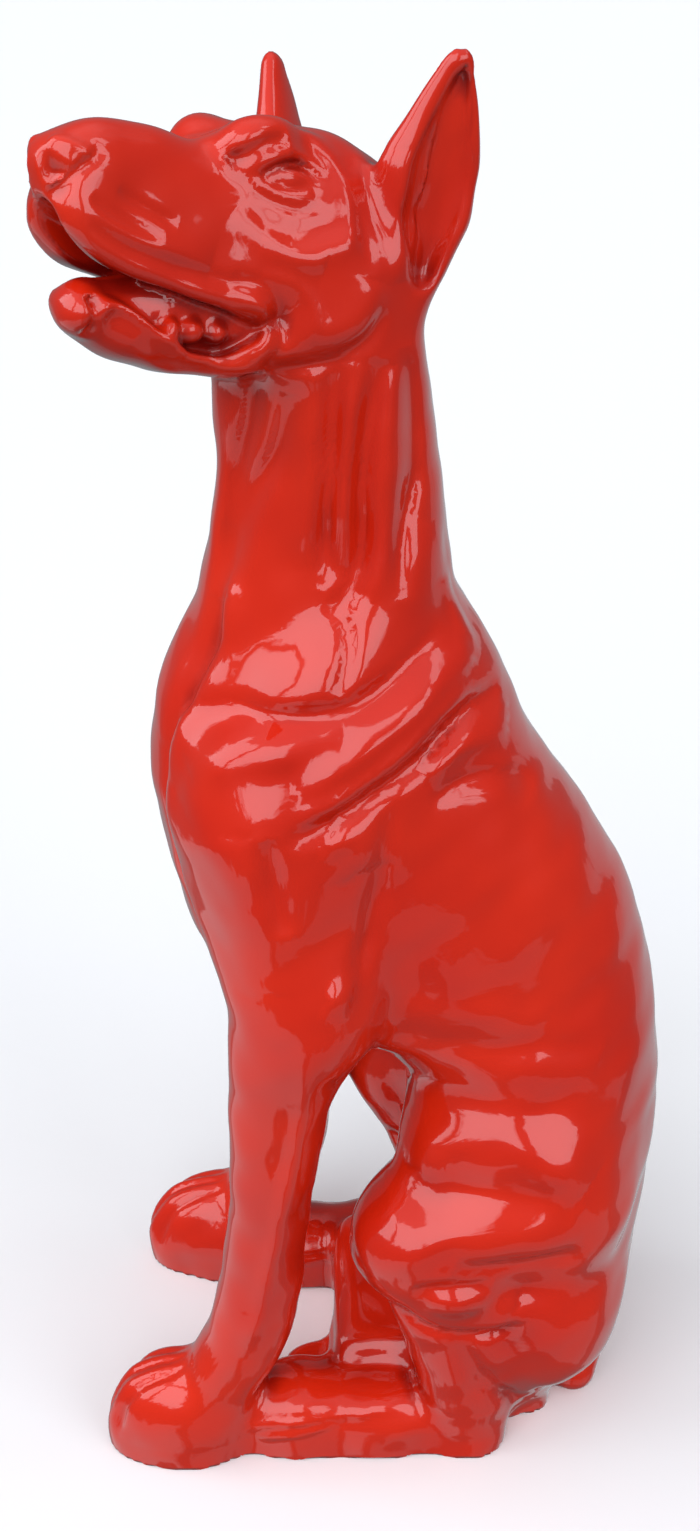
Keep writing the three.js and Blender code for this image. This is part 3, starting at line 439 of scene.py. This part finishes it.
def rod(x, y, z, form):
    """Distance to a round rod whose radius changes from end to end"""
    start = np.array(form.start, single)
    run = np.array(form.end, single) - start
    x = x - start[0]
    y = y - start[1]
    z = z - start[2]
    part = np.clip((x * run[0] + y * run[1] + z * run[2]) / single(run @ run), 0, 1)
    off_axis = np.sqrt((x - run[0] * part) ** 2 + (y - run[1] * part) ** 2 + (z - run[2] * part) ** 2)
    return off_axis - (single(form.start_radius) + single(form.end_radius - form.start_radius) * part)


def joined(x, y, z, forms, start=None):
    """Eggs and rods, each one joined by its own fillet to the start and the forms before it"""
    total = start
    for form in forms.values():
        own = egg(x, y, z, form) if isinstance(form, Egg) else rod(x, y, z, form)
        total = own if total is None else merge(total, own, form.fillet)
    return total


def slab(x, y, z, form):
    """Block on the ground with rounded corners and a rounded upper rim"""
    wide = np.abs(x - form.centre[0]) - form.half_sides[0]
    deep = np.abs(y - form.centre[1]) - form.half_sides[1]
    return share(share(wide, deep, form.corner), z - form.top, form.rim)


class Profile:
    """Curves through rows of a place and its values, blurred over a few times the softness"""

    def __init__(self, rows, softness):
        rows = np.array(sorted(rows), float)
        reach = 4 * softness
        self.at = np.arange(rows[0, 0] - reach, rows[-1, 0] + reach, 1.0)
        blur = np.exp(-0.5 * (np.arange(-reach, reach + 1) / softness) ** 2)
        blur /= blur.sum()
        margin = len(blur) // 2
        self.tables = []
        for values in rows.T[1:]:
            line = np.pad(np.interp(self.at, rows[:, 0], values), margin, mode="edge")
            self.tables.append(np.convolve(line, blur, mode="valid")[:len(self.at)])

    def __call__(self, place):
        return [np.interp(place, self.at, table).astype(single) for table in self.tables]


trunk_at = Profile(TRUNK, softness=6)
foreleg_at = Profile(FORELEG, softness=6)
skull_at = Profile(SKULL, softness=4)
jaw_at = Profile(JAW, softness=4)
ear_at = Profile(EAR, softness=3)


def section(across, deep, half_width, half_depth, squareness):
    """Distance to a rounded-square outline: exact on it and roughly right away from it"""
    across = np.abs(across) / half_width
    deep = np.abs(deep) / half_depth
    near = (across ** squareness + deep ** squareness) ** (1 / squareness)
    steep = np.hypot(across ** (squareness - 1) / half_width, deep ** (squareness - 1) / half_depth)
    steep = steep * np.maximum(near, SECTION_LEAST_NEAR) ** (1 - squareness)
    return (near - 1) / np.maximum(steep, 1.0 / (SECTION_LEAST_STEEP * np.maximum(half_width, half_depth)))


def column(x, y, z, levels, span, squareness):
    """Upright form that follows its levels between a bottom and a top"""
    front, back, half, centre = levels(z)
    wall = section(x - centre, y - (front + back) / 2, half, (back - front) / 2, squareness)
    return share(wall, np.maximum(z - span[1], span[0] - z), COLUMN_ENDS)


def curve_through(points):
    """Smooth curve through a few placed points"""
    points = np.array(points, float)
    points = np.vstack([2 * points[0] - points[1], points, 2 * points[-1] - points[-2]])
    t = (np.arange(CURVE_STEPS) / CURVE_STEPS)[:, None]
    parts = []
    for a, b, c, d in zip(points, points[1:], points[2:], points[3:]):
        bend = 2 * a - 5 * b + 4 * c - d
        twist = 3 * b - a - 3 * c + d
        parts.append(0.5 * (2 * b + (c - a) * t + bend * t ** 2 + twist * t ** 3))
    return np.vstack(parts + [points[-2:-1]])


def carve(across, up, lines):
    """Heights that carved lines add at places: each line fades out towards both of its ends"""
    total = np.zeros(len(across), single)
    for width, height, path in lines.values():
        curve = curve_through(path)
        low = curve.min(0) - LINE_REACH * width
        high = curve.max(0) + LINE_REACH * width
        near = np.flatnonzero((across > low[0]) & (across < high[0]) & (up > low[1]) & (up < high[1]))
        if not len(near):
            continue
        u = across[near]
        v = up[near]
        best = np.full(len(near), FAR_OFF, single)
        along = np.zeros(len(near), single)
        curve = curve.astype(single)
        for step, (a, b) in enumerate(zip(curve, curve[1:])):
            run = b - a
            part = np.clip(((u - a[0]) * run[0] + (v - a[1]) * run[1]) / (run @ run), 0, 1)
            far = (u - a[0] - run[0] * part) ** 2 + (v - a[1] - run[1] * part) ** 2
            along = np.where(far < best, step + part, along)
            best = np.minimum(best, far)
        middle = 2 * along / (len(curve) - 1) - 1
        total[near] += height * np.exp(-best / width ** 2) * (1 - middle ** 4)
    return total


def head_axes():
    """Unit vectors of the head's forward, left and up directions"""
    forward = np.array([np.sin(YAW) * np.cos(PITCH), -np.cos(YAW) * np.cos(PITCH), np.sin(PITCH)])
    left = np.array([np.cos(YAW), np.sin(YAW), 0])
    up = np.cross(left, forward)
    up = up if up[2] > 0 else -up
    return forward, left * np.cos(ROLL) + up * np.sin(ROLL), up * np.cos(ROLL) - left * np.sin(ROLL)


def ear_axes():
    """Length of an ear, and unit vectors along, across and through it"""
    along = EAR_TIP - EAR_ROOT
    length = np.linalg.norm(along)
    along = along / length
    across = EAR_ACROSS - EAR_ACROSS @ along * along
    across /= np.linalg.norm(across)
    through = np.cross(along, across)
    return length, (along, across, through if through[0] > 0 else -through)


HEAD_AXES = head_axes()
EAR_LENGTH, EAR_AXES = ear_axes()


def seen_from(x, y, z, origin, axes):
    """Place as seen from an origin along three axes"""
    x = x - single(origin[0])
    y = y - single(origin[1])
    z = z - single(origin[2])
    return [x * single(axis[0]) + y * single(axis[1]) + z * single(axis[2]) for axis in axes]


def carving(x, y, z):
    """Height of all carved lines at a place"""
    side = np.abs(x)
    depth = np.where(x > 0, 1, single(FAR_SIDE_DEPTH))
    total = carve(y, z, FLANK_LINES) * smooth(side, *FLANK_LINES_FROM) * depth
    total += carve(side, z, CHEST_LINES) * smooth(-y, *CHEST_LINES_FROM)
    top = np.flatnonzero(z > HEAD_LINES_ABOVE)
    if len(top):
        forward, sideways, up = seen_from(x[top], y[top], z[top], HEAD_CENTRE, HEAD_AXES)
        side = np.abs(sideways)
        lines = carve(forward, up, NOSE_LINES) * smooth(side, *NOSE_LINES_FROM)
        lines += carve(forward, up, LIP_LINES) * smooth(side, *LIP_LINES_FROM)
        lines += carve(forward, up, EYE_LINES) * smooth(side, *EYE_LINES_FROM)
        total[top] += lines * smooth(up, *HEAD_LINES_UP_FROM)
    return total


def unevenness(x, y, z):
    """Hand-modelled waver of the surface, from a few long waves in set directions"""
    total = np.zeros(len(x), single)
    for length, height, tilt, turn, phase in WAVES:
        tilt = np.radians(tilt)
        turn = np.radians(turn)
        along = x * single(np.cos(tilt) * np.cos(turn)) + y * single(np.cos(tilt) * np.sin(turn))
        along = along + z * single(np.sin(tilt))
        total += single(height) * np.sin(along * single(2 * np.pi / length) + single(phase))
    return total


def leg_back(x):
    """How far back the foreleg stands at a place across the dog"""
    part = np.clip((-x - RIGHT_LEG_FROM) / RIGHT_LEG_OVER, 0, 1)
    return RIGHT_LEG_BACK * part * part * (3 - 2 * part)


def body(x, y, z):
    """Trunk and neck with the shoulders, forelegs and haunches"""
    side = np.abs(x)
    form = joined(side, y, z, SHOULDER, column(x, y, z, trunk_at, TRUNK_SPAN, TRUNK_SQUARENESS))
    foreleg = column(side, y - leg_back(x), z, foreleg_at, FORELEG_SPAN, FORELEG_SQUARENESS)
    form = merge(form, foreleg, FORELEG_FILLET)
    return merge(form, joined(side, y, z, HAUNCH), HAUNCH_FILLET)


def grounded(z, height):
    """Heights in which those near the ground count for less"""
    return np.where(z < height, height - (height - z) * single(GROUND_SHARE), z)


def toe_grooves(side, y, z):
    """Shallow grooves between the four toes of a forepaw, fanned about its middle"""
    cut = 0
    for place in (-1, 0, 1):
        line = TOE_MIDDLE + place * TOE_SPREAD * (1 + TOE_FAN * (TOE_FAN_FROM - y))
        cut = cut + np.exp(-((side - line) / TOE_GROOVE_WIDTH) ** 2)
    return TOE_GROOVE_DEPTH * cut * smooth(y, *TOE_GROOVES_ALONG) * smooth(z, *TOE_GROOVES_UP)


def forepaw(x, y, z):
    """Forepaws, of which the right one follows its leg"""
    side = np.abs(x + leg_back(x) * RIGHT_PAW_OUT)
    y = y - leg_back(x) * RIGHT_PAW_BACK
    return joined(side, y, grounded(z, FOREPAW_GROUNDED), FOREPAW) + toe_grooves(side, y, z)


def hind_foot(side, y, z):
    """Hind feet from heel to toes"""
    return joined(side, y, grounded(z, HIND_FOOT_GROUNDED), HIND_FOOT)


def seat(x, y, z):
    """Low mass that joins the hind feet, with the docked tail"""
    block = merge(slab(x, y, z, SEAT_BLOCK), slab(x, y, z, SEAT_APRON), APRON_FILLET)
    return joined(x, y, z, SEAT_RODS, block)


def ear(side, forward, up):
    """Pointed leaf with a scooped front, in which two ribs run up"""
    along, across, through = seen_from(side, forward, up, EAR_ROOT, EAR_AXES)
    half, thick = ear_at(along)
    leaf = section(across, through, half, thick, EAR_SQUARENESS)
    leaf = share(leaf, np.maximum(along - EAR_LENGTH, EAR_FOOT - along), EAR_ENDS)
    half = np.maximum(half - SCOOP_RIM, SCOOP_LEAST_WIDTH)
    outwards = through - thick * SCOOP_OUT
    hollow = section(across + SCOOP_SHIFT, outwards, half, thick * SCOOP_DEPTH, EAR_SQUARENESS)
    hollow = share(hollow, np.maximum(along - EAR_LENGTH + SCOOP_RIM, SCOOP_FOOT - along), EAR_ENDS)
    ribs = sum(height * np.exp(-((across - place) / width) ** 2) for place, width, height in EAR_RIBS)
    ribs = EAR_RIB_HEIGHT * ribs * smooth(along, *EAR_RIBS_FROM) * smooth(-along, *EAR_RIBS_UP_TO)
    return scoop(leaf, hollow, SCOOP_EDGE) - ribs * smooth(through, *EAR_RIBS_IN_FRONT)


def skull(side, forward, up):
    """Skull with the upper jaw and the brows, hollowed between the lips"""
    top, lip, half = skull_at(forward)
    back = np.clip((BACK_FROM - forward) / BACK_OVER, 0, 1)
    rise = BROADEST_RISE + (top - lip) * BROADEST_RISE_BACK * back
    rise = rise + BROADEST_RISE_MUZZLE * smooth(forward, *MUZZLE_FROM)
    broadest = lip + np.minimum(rise, BROADEST_AT_MOST * (top - lip))
    form = section(side, np.maximum(up - broadest, 0), half, top - broadest, SKULL_SQUARENESS)
    softer = np.clip((SOFT_EDGE_FROM - forward) / SOFT_EDGE_OVER, 0, 1)
    form = share(form, lip - up, LIP_EDGE + LIP_EDGE_BACK * softer)
    ends = np.maximum(forward - NOSE_FRONT - NOSE_LEAN * up, SKULL_BACK - forward)
    form = scoop(share(form, ends, SKULL_ENDS), rod(side, forward, up, PALATE), PALATE.fillet)
    return joined(side, forward, up, BROW, form)


def jaw(side, forward, up):
    """Lower jaw, rounded below and flat along its rim"""
    rim, bottom, half = jaw_at(forward)
    below = np.minimum(up - (rim + bottom) / 2 - (rim - bottom) * JAW_BROADEST, 0)
    form = share(section(side, below, half, (rim - bottom) * JAW_DEPTH, JAW_SQUARENESS), up - rim, JAW_RIM)
    return share(form, np.maximum(forward - JAW_SPAN[1], JAW_SPAN[0] - forward), JAW_ENDS)


def head(x, y, z):
    """Head with its jaw, tongue, molars, cheeks, eyes and ears"""
    forward, sideways, up = seen_from(x, y, z, HEAD_CENTRE, HEAD_AXES)
    side = np.abs(sideways)
    form = merge(skull(side, forward, up), jaw(side, forward, up), JAW_FILLET)
    tongue = joined(side, forward, up, MOLARS, joined(sideways, forward, up, TONGUE))
    form = joined(side, forward, up, FACE, merge(form, tongue, TONGUE_FILLET))
    return merge(form, ear(side, forward, up), EAR_FILLET)


def figure(points):
    """Distance to the surface of the whole figure, negative inside"""
    x, y, z = points.T
    form = body(x, y, z)
    low = np.flatnonzero(z < FEET_BELOW)
    if len(low):
        place = (x[low], y[low], z[low])
        paws = merge(form[low], forepaw(*place), FOREPAW_FILLET)
        feet = merge(hind_foot(np.abs(x[low]), y[low], z[low]), seat(*place), SEAT_FILLET)
        form[low] = merge(paws, feet, HIND_FOOT_FILLET)
    high = np.flatnonzero(z > HEAD_ABOVE)
    if len(high):
        form[high] = merge(form[high], head(x[high], y[high], z[high]), HEAD_FILLET)
    near = np.flatnonzero(np.abs(form) < CARVED_WITHIN)
    form[near] -= carving(x[near], y[near], z[near]) + unevenness(x[near], y[near], z[near])
    return np.maximum(form, -z)


def cell_at(z):
    """Size of a cell at a height"""
    head_share = smooth(z, *HEAD_CELLS_FROM)
    foot_share = smooth(-z, *FOOT_CELLS_BELOW)
    return BODY_CELL + (HEAD_CELL - BODY_CELL) * head_share + (FOOT_CELL - BODY_CELL) * foot_share


class Lattice:
    """Box of sampling points whose cells shrink over the head and the feet"""

    def __init__(self):
        heights = [REACH_Z[0]]
        while heights[-1] < REACH_Z[1]:
            heights.append(heights[-1] + float(cell_at(heights[-1])))
        self.heights = np.array(heights)
        self.cells = cell_at(self.heights)
        finest = self.cells.min()
        across = int((REACH_X[1] - REACH_X[0]) / finest) + 2
        deep = int((REACH_Y[1] - REACH_Y[0]) / finest) + 2
        self.size = (across, deep, len(heights))
        self.middle = (sum(REACH_X) / 2, sum(REACH_Y) / 2)

    def points(self, index):
        """Places of lattice points, or of places between them, by their numbers in each direction"""
        index = np.asarray(index, float)
        level = np.arange(len(self.heights))
        cell = np.interp(index[:, 2], level, self.cells)
        x = self.middle[0] + (index[:, 0] - (self.size[0] - 1) / 2) * cell
        y = self.middle[1] + (index[:, 1] - (self.size[1] - 1) / 2) * cell
        return np.stack([x, y, np.interp(index[:, 2], level, self.heights)], -1).astype(single)


def evaluate(points):
    """Distances at many points, worked out in portions to save memory"""
    portions = [figure(points[i:i + PORTION]) for i in range(0, len(points), PORTION)]
    return np.concatenate(portions)


def sample(lattice):
    """Values of the form on the lattice: every point near the surface, and rough values elsewhere"""
    steps = [np.unique(np.append(np.arange(0, n, BLOCK), n - 1)) for n in lattice.size]
    grid = np.stack(np.meshgrid(*steps, indexing="ij"), -1)
    points = lattice.points(grid.reshape(-1, 3))
    rough = evaluate(points).reshape(grid.shape[:3])
    places = points.reshape(grid.shape)
    reach = np.linalg.norm(places[1:, 1:, 1:] - places[:-1, :-1, :-1], axis=-1) * BLOCK_MARGIN
    wide, deep, high = [n - 1 for n in rough.shape]
    around = [rough[a:a + wide, b:b + deep, c:c + high] for a, b, c in CORNERS]
    near = (np.min(around, 0) < reach) & (np.max(around, 0) > -reach)
    blocks = [np.minimum(np.arange(n) // BLOCK, m - 1) for n, m in zip(lattice.size, (wide, deep, high))]
    values = around[0][np.ix_(*blocks)].astype(single)
    wanted = np.zeros(lattice.size, bool)
    for place in np.argwhere(near):
        block = [slice(step[n], step[n + 1] + 1) for step, n in zip(steps, place)]
        wanted[tuple(block)] = True
    values[wanted] = evaluate(lattice.points(np.argwhere(wanted)))
    return values


def untangle(values):
    """Where a lattice face has its corners inside and outside in turn, the surface would touch itself,
    so the outer corner nearest to the surface joins the inside"""
    for axis in (0, 1, 2) * UNTANGLE_ROUNDS:
        u, v = [n for n in range(3) if n != axis]
        inside = values < 0
        corners = []
        for a, b in FACE_CORNERS:
            cut = [slice(None)] * 3
            cut[u] = slice(a, values.shape[u] - 1 + a)
            cut[v] = slice(b, values.shape[v] - 1 + b)
            corners.append(inside[tuple(cut)])
        crossed = (corners[0] == corners[2]) & (corners[1] == corners[3]) & (corners[0] != corners[1])
        for place in np.argwhere(crossed):
            outer = []
            for a, b in FACE_CORNERS:
                corner = place.copy()
                corner[u] += a
                corner[v] += b
                if values[tuple(corner)] >= 0:
                    outer.append(tuple(corner))
            if outer:
                values[min(outer, key=lambda corner: values[corner])] = JUST_INSIDE


def crossing_points(lattice, values, cells):
    """One point in each cell, at the mean of the places where the surface crosses the cell's edges"""
    total = np.zeros((len(cells), 3))
    crossings = np.zeros(len(cells))
    for start in CORNERS:
        for axis in range(3):
            if start[axis]:
                continue
            end = list(start)
            end[axis] = 1
            low = cells + start
            high = cells + end
            a = values[tuple(low.T)]
            b = values[tuple(high.T)]
            crossed = (a < 0) != (b < 0)
            part = np.where(crossed, a / (a - b + CROSSING_GUARD), 0)
            total[crossed] += (low + (high - low) * part[:, None])[crossed]
            crossings[crossed] += 1
    return lattice.points(total / crossings[:, None])


def wrap(lattice, values):
    """One point in each cell that the surface crosses, and one face on each edge that it crosses"""
    inside = values < 0
    size = np.array(values.shape)
    wide, deep, high = size - 1
    count = sum(inside[a:a + wide, b:b + deep, c:c + high].astype(np.int8) for a, b, c in CORNERS)
    cells = np.argwhere((count > 0) & (count < len(CORNERS)))
    number = -np.ones(size - 1, np.int64)
    number[tuple(cells.T)] = np.arange(len(cells))
    faces = []
    for axis in range(3):
        before = tuple(slice(0, size[i] - 1) if i == axis else slice(None) for i in range(3))
        after = tuple(slice(1, size[i]) if i == axis else slice(None) for i in range(3))
        edges = np.argwhere(inside[before] != inside[after])
        u = (axis + 1) % 3
        v = (axis + 2) % 3
        around = edges[:, [u, v]]
        edges = edges[((around > 0) & (around < size[[u, v]] - 1)).all(1)]
        outward = inside[tuple(edges.T)]
        face = []
        for back_u, back_v in ((1, 1), (0, 1), (0, 0), (1, 0)):
            cell = edges.copy()
            cell[:, u] -= back_u
            cell[:, v] -= back_v
            face.append(number[tuple(cell.T)])
        face = np.stack(face, -1)
        face[~outward] = face[~outward][:, ::-1]
        faces.append(face)
    return crossing_points(lattice, values, cells), np.concatenate(faces)


def slope(points, step):
    """Direction in which the form's distance grows, from four places around each point"""
    corners = np.array(SLOPE_CORNERS, single)
    return sum(corner * evaluate(points + single(step) * corner)[:, None] for corner in corners) / (4 * step)


def settle(points):
    """Moves points along the slope of the form until they lie on it"""
    for _ in range(SETTLE_ROUNDS):
        lean = slope(points, SLOPE_STEP)
        steep = np.maximum(np.linalg.norm(lean, axis=1, keepdims=True), LEAST_SLOPE)
        move = evaluate(points)[:, None] * lean / steep ** 2
        far = np.linalg.norm(move, axis=1, keepdims=True)
        points = points - move * np.minimum(1, SETTLE_LIMIT / np.maximum(far, SETTLE_GUARD))
    points[:, 2] = np.maximum(points[:, 2], 0)
    return points


def recess(points, normals):
    """How far the form closes in the space outside each point: 0 in the open, 1 deep in a hollow"""
    room = evaluate((points + normals * single(RECESS_REACH)).astype(single)) / single(RECESS_REACH)
    return np.clip(1 - room, 0, 1)


def build_figure():
    """The whole figure as one mesh in metres, with its hollows kept in the attribute recess"""
    lattice = Lattice()
    values = sample(lattice)
    untangle(values)
    points, faces = wrap(lattice, values)
    points = settle(points)
    normals = slope(points, NORMAL_STEP)
    normals /= np.linalg.norm(normals, axis=1, keepdims=True)
    mesh = bpy.data.meshes.new("guard_dog")
    mesh.from_pydata(((points - np.array(BASE, single)) * MM).tolist(), [], faces.tolist())
    mesh.shade_smooth()
    mesh.normals_split_custom_set_from_vertices(normals.tolist())
    depth = mesh.attributes.new("recess", "FLOAT", "POINT")
    depth.data.foreach_set("value", recess(points, normals).astype(single))
    piece = bpy.data.objects.new("guard_dog", mesh)
    bpy.context.scene.collection.objects.link(piece)
    print("figure:", len(points), "points,", 2 * len(faces), "triangles")
    return piece


def add_node(tree, kind, **values):
    """New node, with its inputs and settings by name"""
    node = tree.nodes.new(kind)
    for name, value in values.items():
        if name in node.inputs.keys():
            node.inputs[name].default_value = value
        else:
            setattr(node, name, value)
    return node


def new_material(name, finish):
    """Material with its numbers and colours set on the shader's own sockets"""
    material = bpy.data.materials.new(name)
    material.use_nodes = True
    shader = material.node_tree.nodes["Principled BSDF"]
    for socket, value in finish.items():
        shader.inputs[socket].default_value = value
    return material, shader


def red_glaze():
    """Thick mirror-gloss glaze: a little wavy, uneven in depth, and darkened in hollows by painted shade"""
    material, shader = new_material("red_glaze", GLAZE_FINISH)
    tree = material.node_tree
    place = add_node(tree, "ShaderNodeTexCoord")
    drift = add_node(tree, "ShaderNodeTexNoise", **GLAZE_DRIFT)
    tree.links.new(place.outputs["Object"], drift.inputs["Vector"])
    shades = add_node(tree, "ShaderNodeValToRGB")
    thin, full = shades.color_ramp.elements
    thin.position = THIN_BELOW
    thin.color = THIN_GLAZE
    full.position = FULL_ABOVE
    full.color = FULL_GLAZE
    tree.links.new(drift.outputs["Fac"], shades.inputs["Fac"])
    # Painted shade: the glaze's colour turns darker with the depth of the recess at each point
    hollow = add_node(tree, "ShaderNodeAttribute", attribute_name="recess")
    hollow_shade = add_node(tree, "ShaderNodeMapRange", interpolation_type="SMOOTHSTEP", **HOLLOW_SHADE_RANGE)
    tree.links.new(hollow.outputs["Fac"], hollow_shade.inputs["Value"])
    blend = add_node(tree, "ShaderNodeMix", data_type="RGBA")
    tree.links.new(hollow_shade.outputs["Result"], blend.inputs[MIX_FACTOR])
    tree.links.new(shades.outputs["Color"], blend.inputs[MIX_FIRST])
    blend.inputs[MIX_SECOND].default_value = HOLLOW_SHADE_COLOUR
    tree.links.new(blend.outputs[MIX_RESULT], shader.inputs["Base Color"])
    waver = add_node(tree, "ShaderNodeTexNoise", **GLAZE_WAVER)
    tree.links.new(place.outputs["Object"], waver.inputs["Vector"])
    bump = add_node(tree, "ShaderNodeBump", **GLAZE_BUMP)
    tree.links.new(waver.outputs["Fac"], bump.inputs["Height"])
    tree.links.new(bump.outputs["Normal"], shader.inputs["Normal"])
    tree.links.new(bump.outputs["Normal"], shader.inputs["Coat Normal"])
    return material


def pale_floor():
    """Wide floor that doesn't show in the glaze or light the dog from below"""
    half = FLOOR_SIZE / 2
    mesh = bpy.data.meshes.new("floor")
    corners = [(-half, -half, 0), (half, -half, 0), (half, half, 0), (-half, half, 0)]
    mesh.from_pydata(corners, [], [(0, 1, 2, 3)])
    mesh.materials.append(new_material("pale_floor", FLOOR_FINISH)[0])
    ground = bpy.data.objects.new("floor", mesh)
    bpy.context.scene.collection.objects.link(ground)
    ground.visible_glossy = False
    ground.visible_diffuse = False


def calculate(tree, operation, first, second=None, third=None):
    """Math node on sockets or numbers, giving its result socket"""
    node = add_node(tree, "ShaderNodeMath", operation=operation)
    for socket, value in zip(node.inputs, (first, second, third)):
        if isinstance(value, (int, float)):
            socket.default_value = value
        elif value is not None:
            tree.links.new(value, socket)
    return node.outputs[0]


def window(tree, value, low, high, edge):
    """1 between two limits and 0 beyond them, over a soft edge"""
    rise = calculate(tree, "DIVIDE", calculate(tree, "SUBTRACT", value, low - edge), 2 * edge)
    fall = calculate(tree, "DIVIDE", calculate(tree, "SUBTRACT", high + edge, value), 2 * edge)
    both = add_node(tree, "ShaderNodeClamp")
    tree.links.new(calculate(tree, "MINIMUM", rise, fall), both.inputs["Value"])
    return both.outputs[0]


def studio_sky():
    """Dull room with a paler ceiling and bright, ragged openings. Azimuths run from +X towards +Y, and
    they and the heights are in degrees"""
    world = bpy.data.worlds.new("studio")
    bpy.context.scene.world = world
    world.use_nodes = True
    tree = world.node_tree
    where = add_node(tree, "ShaderNodeTexCoord")
    ragged = add_node(tree, "ShaderNodeTexNoise", **RAGGED)
    tree.links.new(where.outputs["Generated"], ragged.inputs["Vector"])
    wander = calculate(tree, "MULTIPLY_ADD", ragged.outputs["Fac"], RAGGED_DEPTH, -RAGGED_DEPTH / 2)
    split = add_node(tree, "ShaderNodeSeparateXYZ")
    tree.links.new(where.outputs["Generated"], split.inputs["Vector"])
    around = calculate(tree, "ARCTAN2", split.outputs["Y"], split.outputs["X"])
    around = calculate(tree, "MULTIPLY_ADD", around, 180 / math.pi, wander)
    height = calculate(tree, "ARCSINE", split.outputs["Z"])
    height = calculate(tree, "MULTIPLY_ADD", height, 180 / math.pi, wander)
    ceiling = window(tree, height, CEILING_FROM, CEILING_TO, CEILING_EDGE)
    light = calculate(tree, "MULTIPLY_ADD", ceiling, CEILING_LEVEL, ROOM_LEVEL)
    for left, right, low, high, brightness in SKY_OPENINGS:
        across = window(tree, around, left, right, OPENING_SIDE_EDGE)
        up = window(tree, height, low, high, OPENING_TOP_EDGE)
        opening = calculate(tree, "MULTIPLY", calculate(tree, "MULTIPLY", across, up), brightness)
        light = calculate(tree, "MAXIMUM", light, opening)
    colour = add_node(tree, "ShaderNodeCombineColor")
    for channel, tint in SKY_TINT.items():
        tree.links.new(calculate(tree, "MULTIPLY", light, tint), colour.inputs[channel])
    background = tree.nodes["Background"]
    tree.links.new(colour.outputs[0], background.inputs["Color"])
    background.inputs["Strength"].default_value = 1.0


def camera():
    """Camera at the photograph's viewing angle"""
    data = bpy.data.cameras.new("camera")
    data.sensor_width = SENSOR
    data.lens = SENSOR * FOCAL / PHOTO_HEIGHT
    data.clip_end = CLIP_END
    seen = bpy.data.objects.new("camera", data)
    bpy.context.scene.collection.objects.link(seen)
    start = np.array(CAMERA_AT) * MM
    direction = np.array(CAMERA_AIM) * MM - start
    seen.location = start
    yaw = math.atan2(-direction[0], direction[1])
    tilt = math.atan2(direction[2], math.hypot(direction[0], direction[1]))
    seen.rotation_euler = (math.pi / 2 + tilt, 0, yaw)
    bpy.context.scene.camera = seen


camera()

dog = build_figure()
dog.data.materials.append(red_glaze())
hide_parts("dog_figure")
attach(dog, "root")

pale_floor()
studio_sky()
bpy.context.scene.view_settings.view_transform = "Standard"
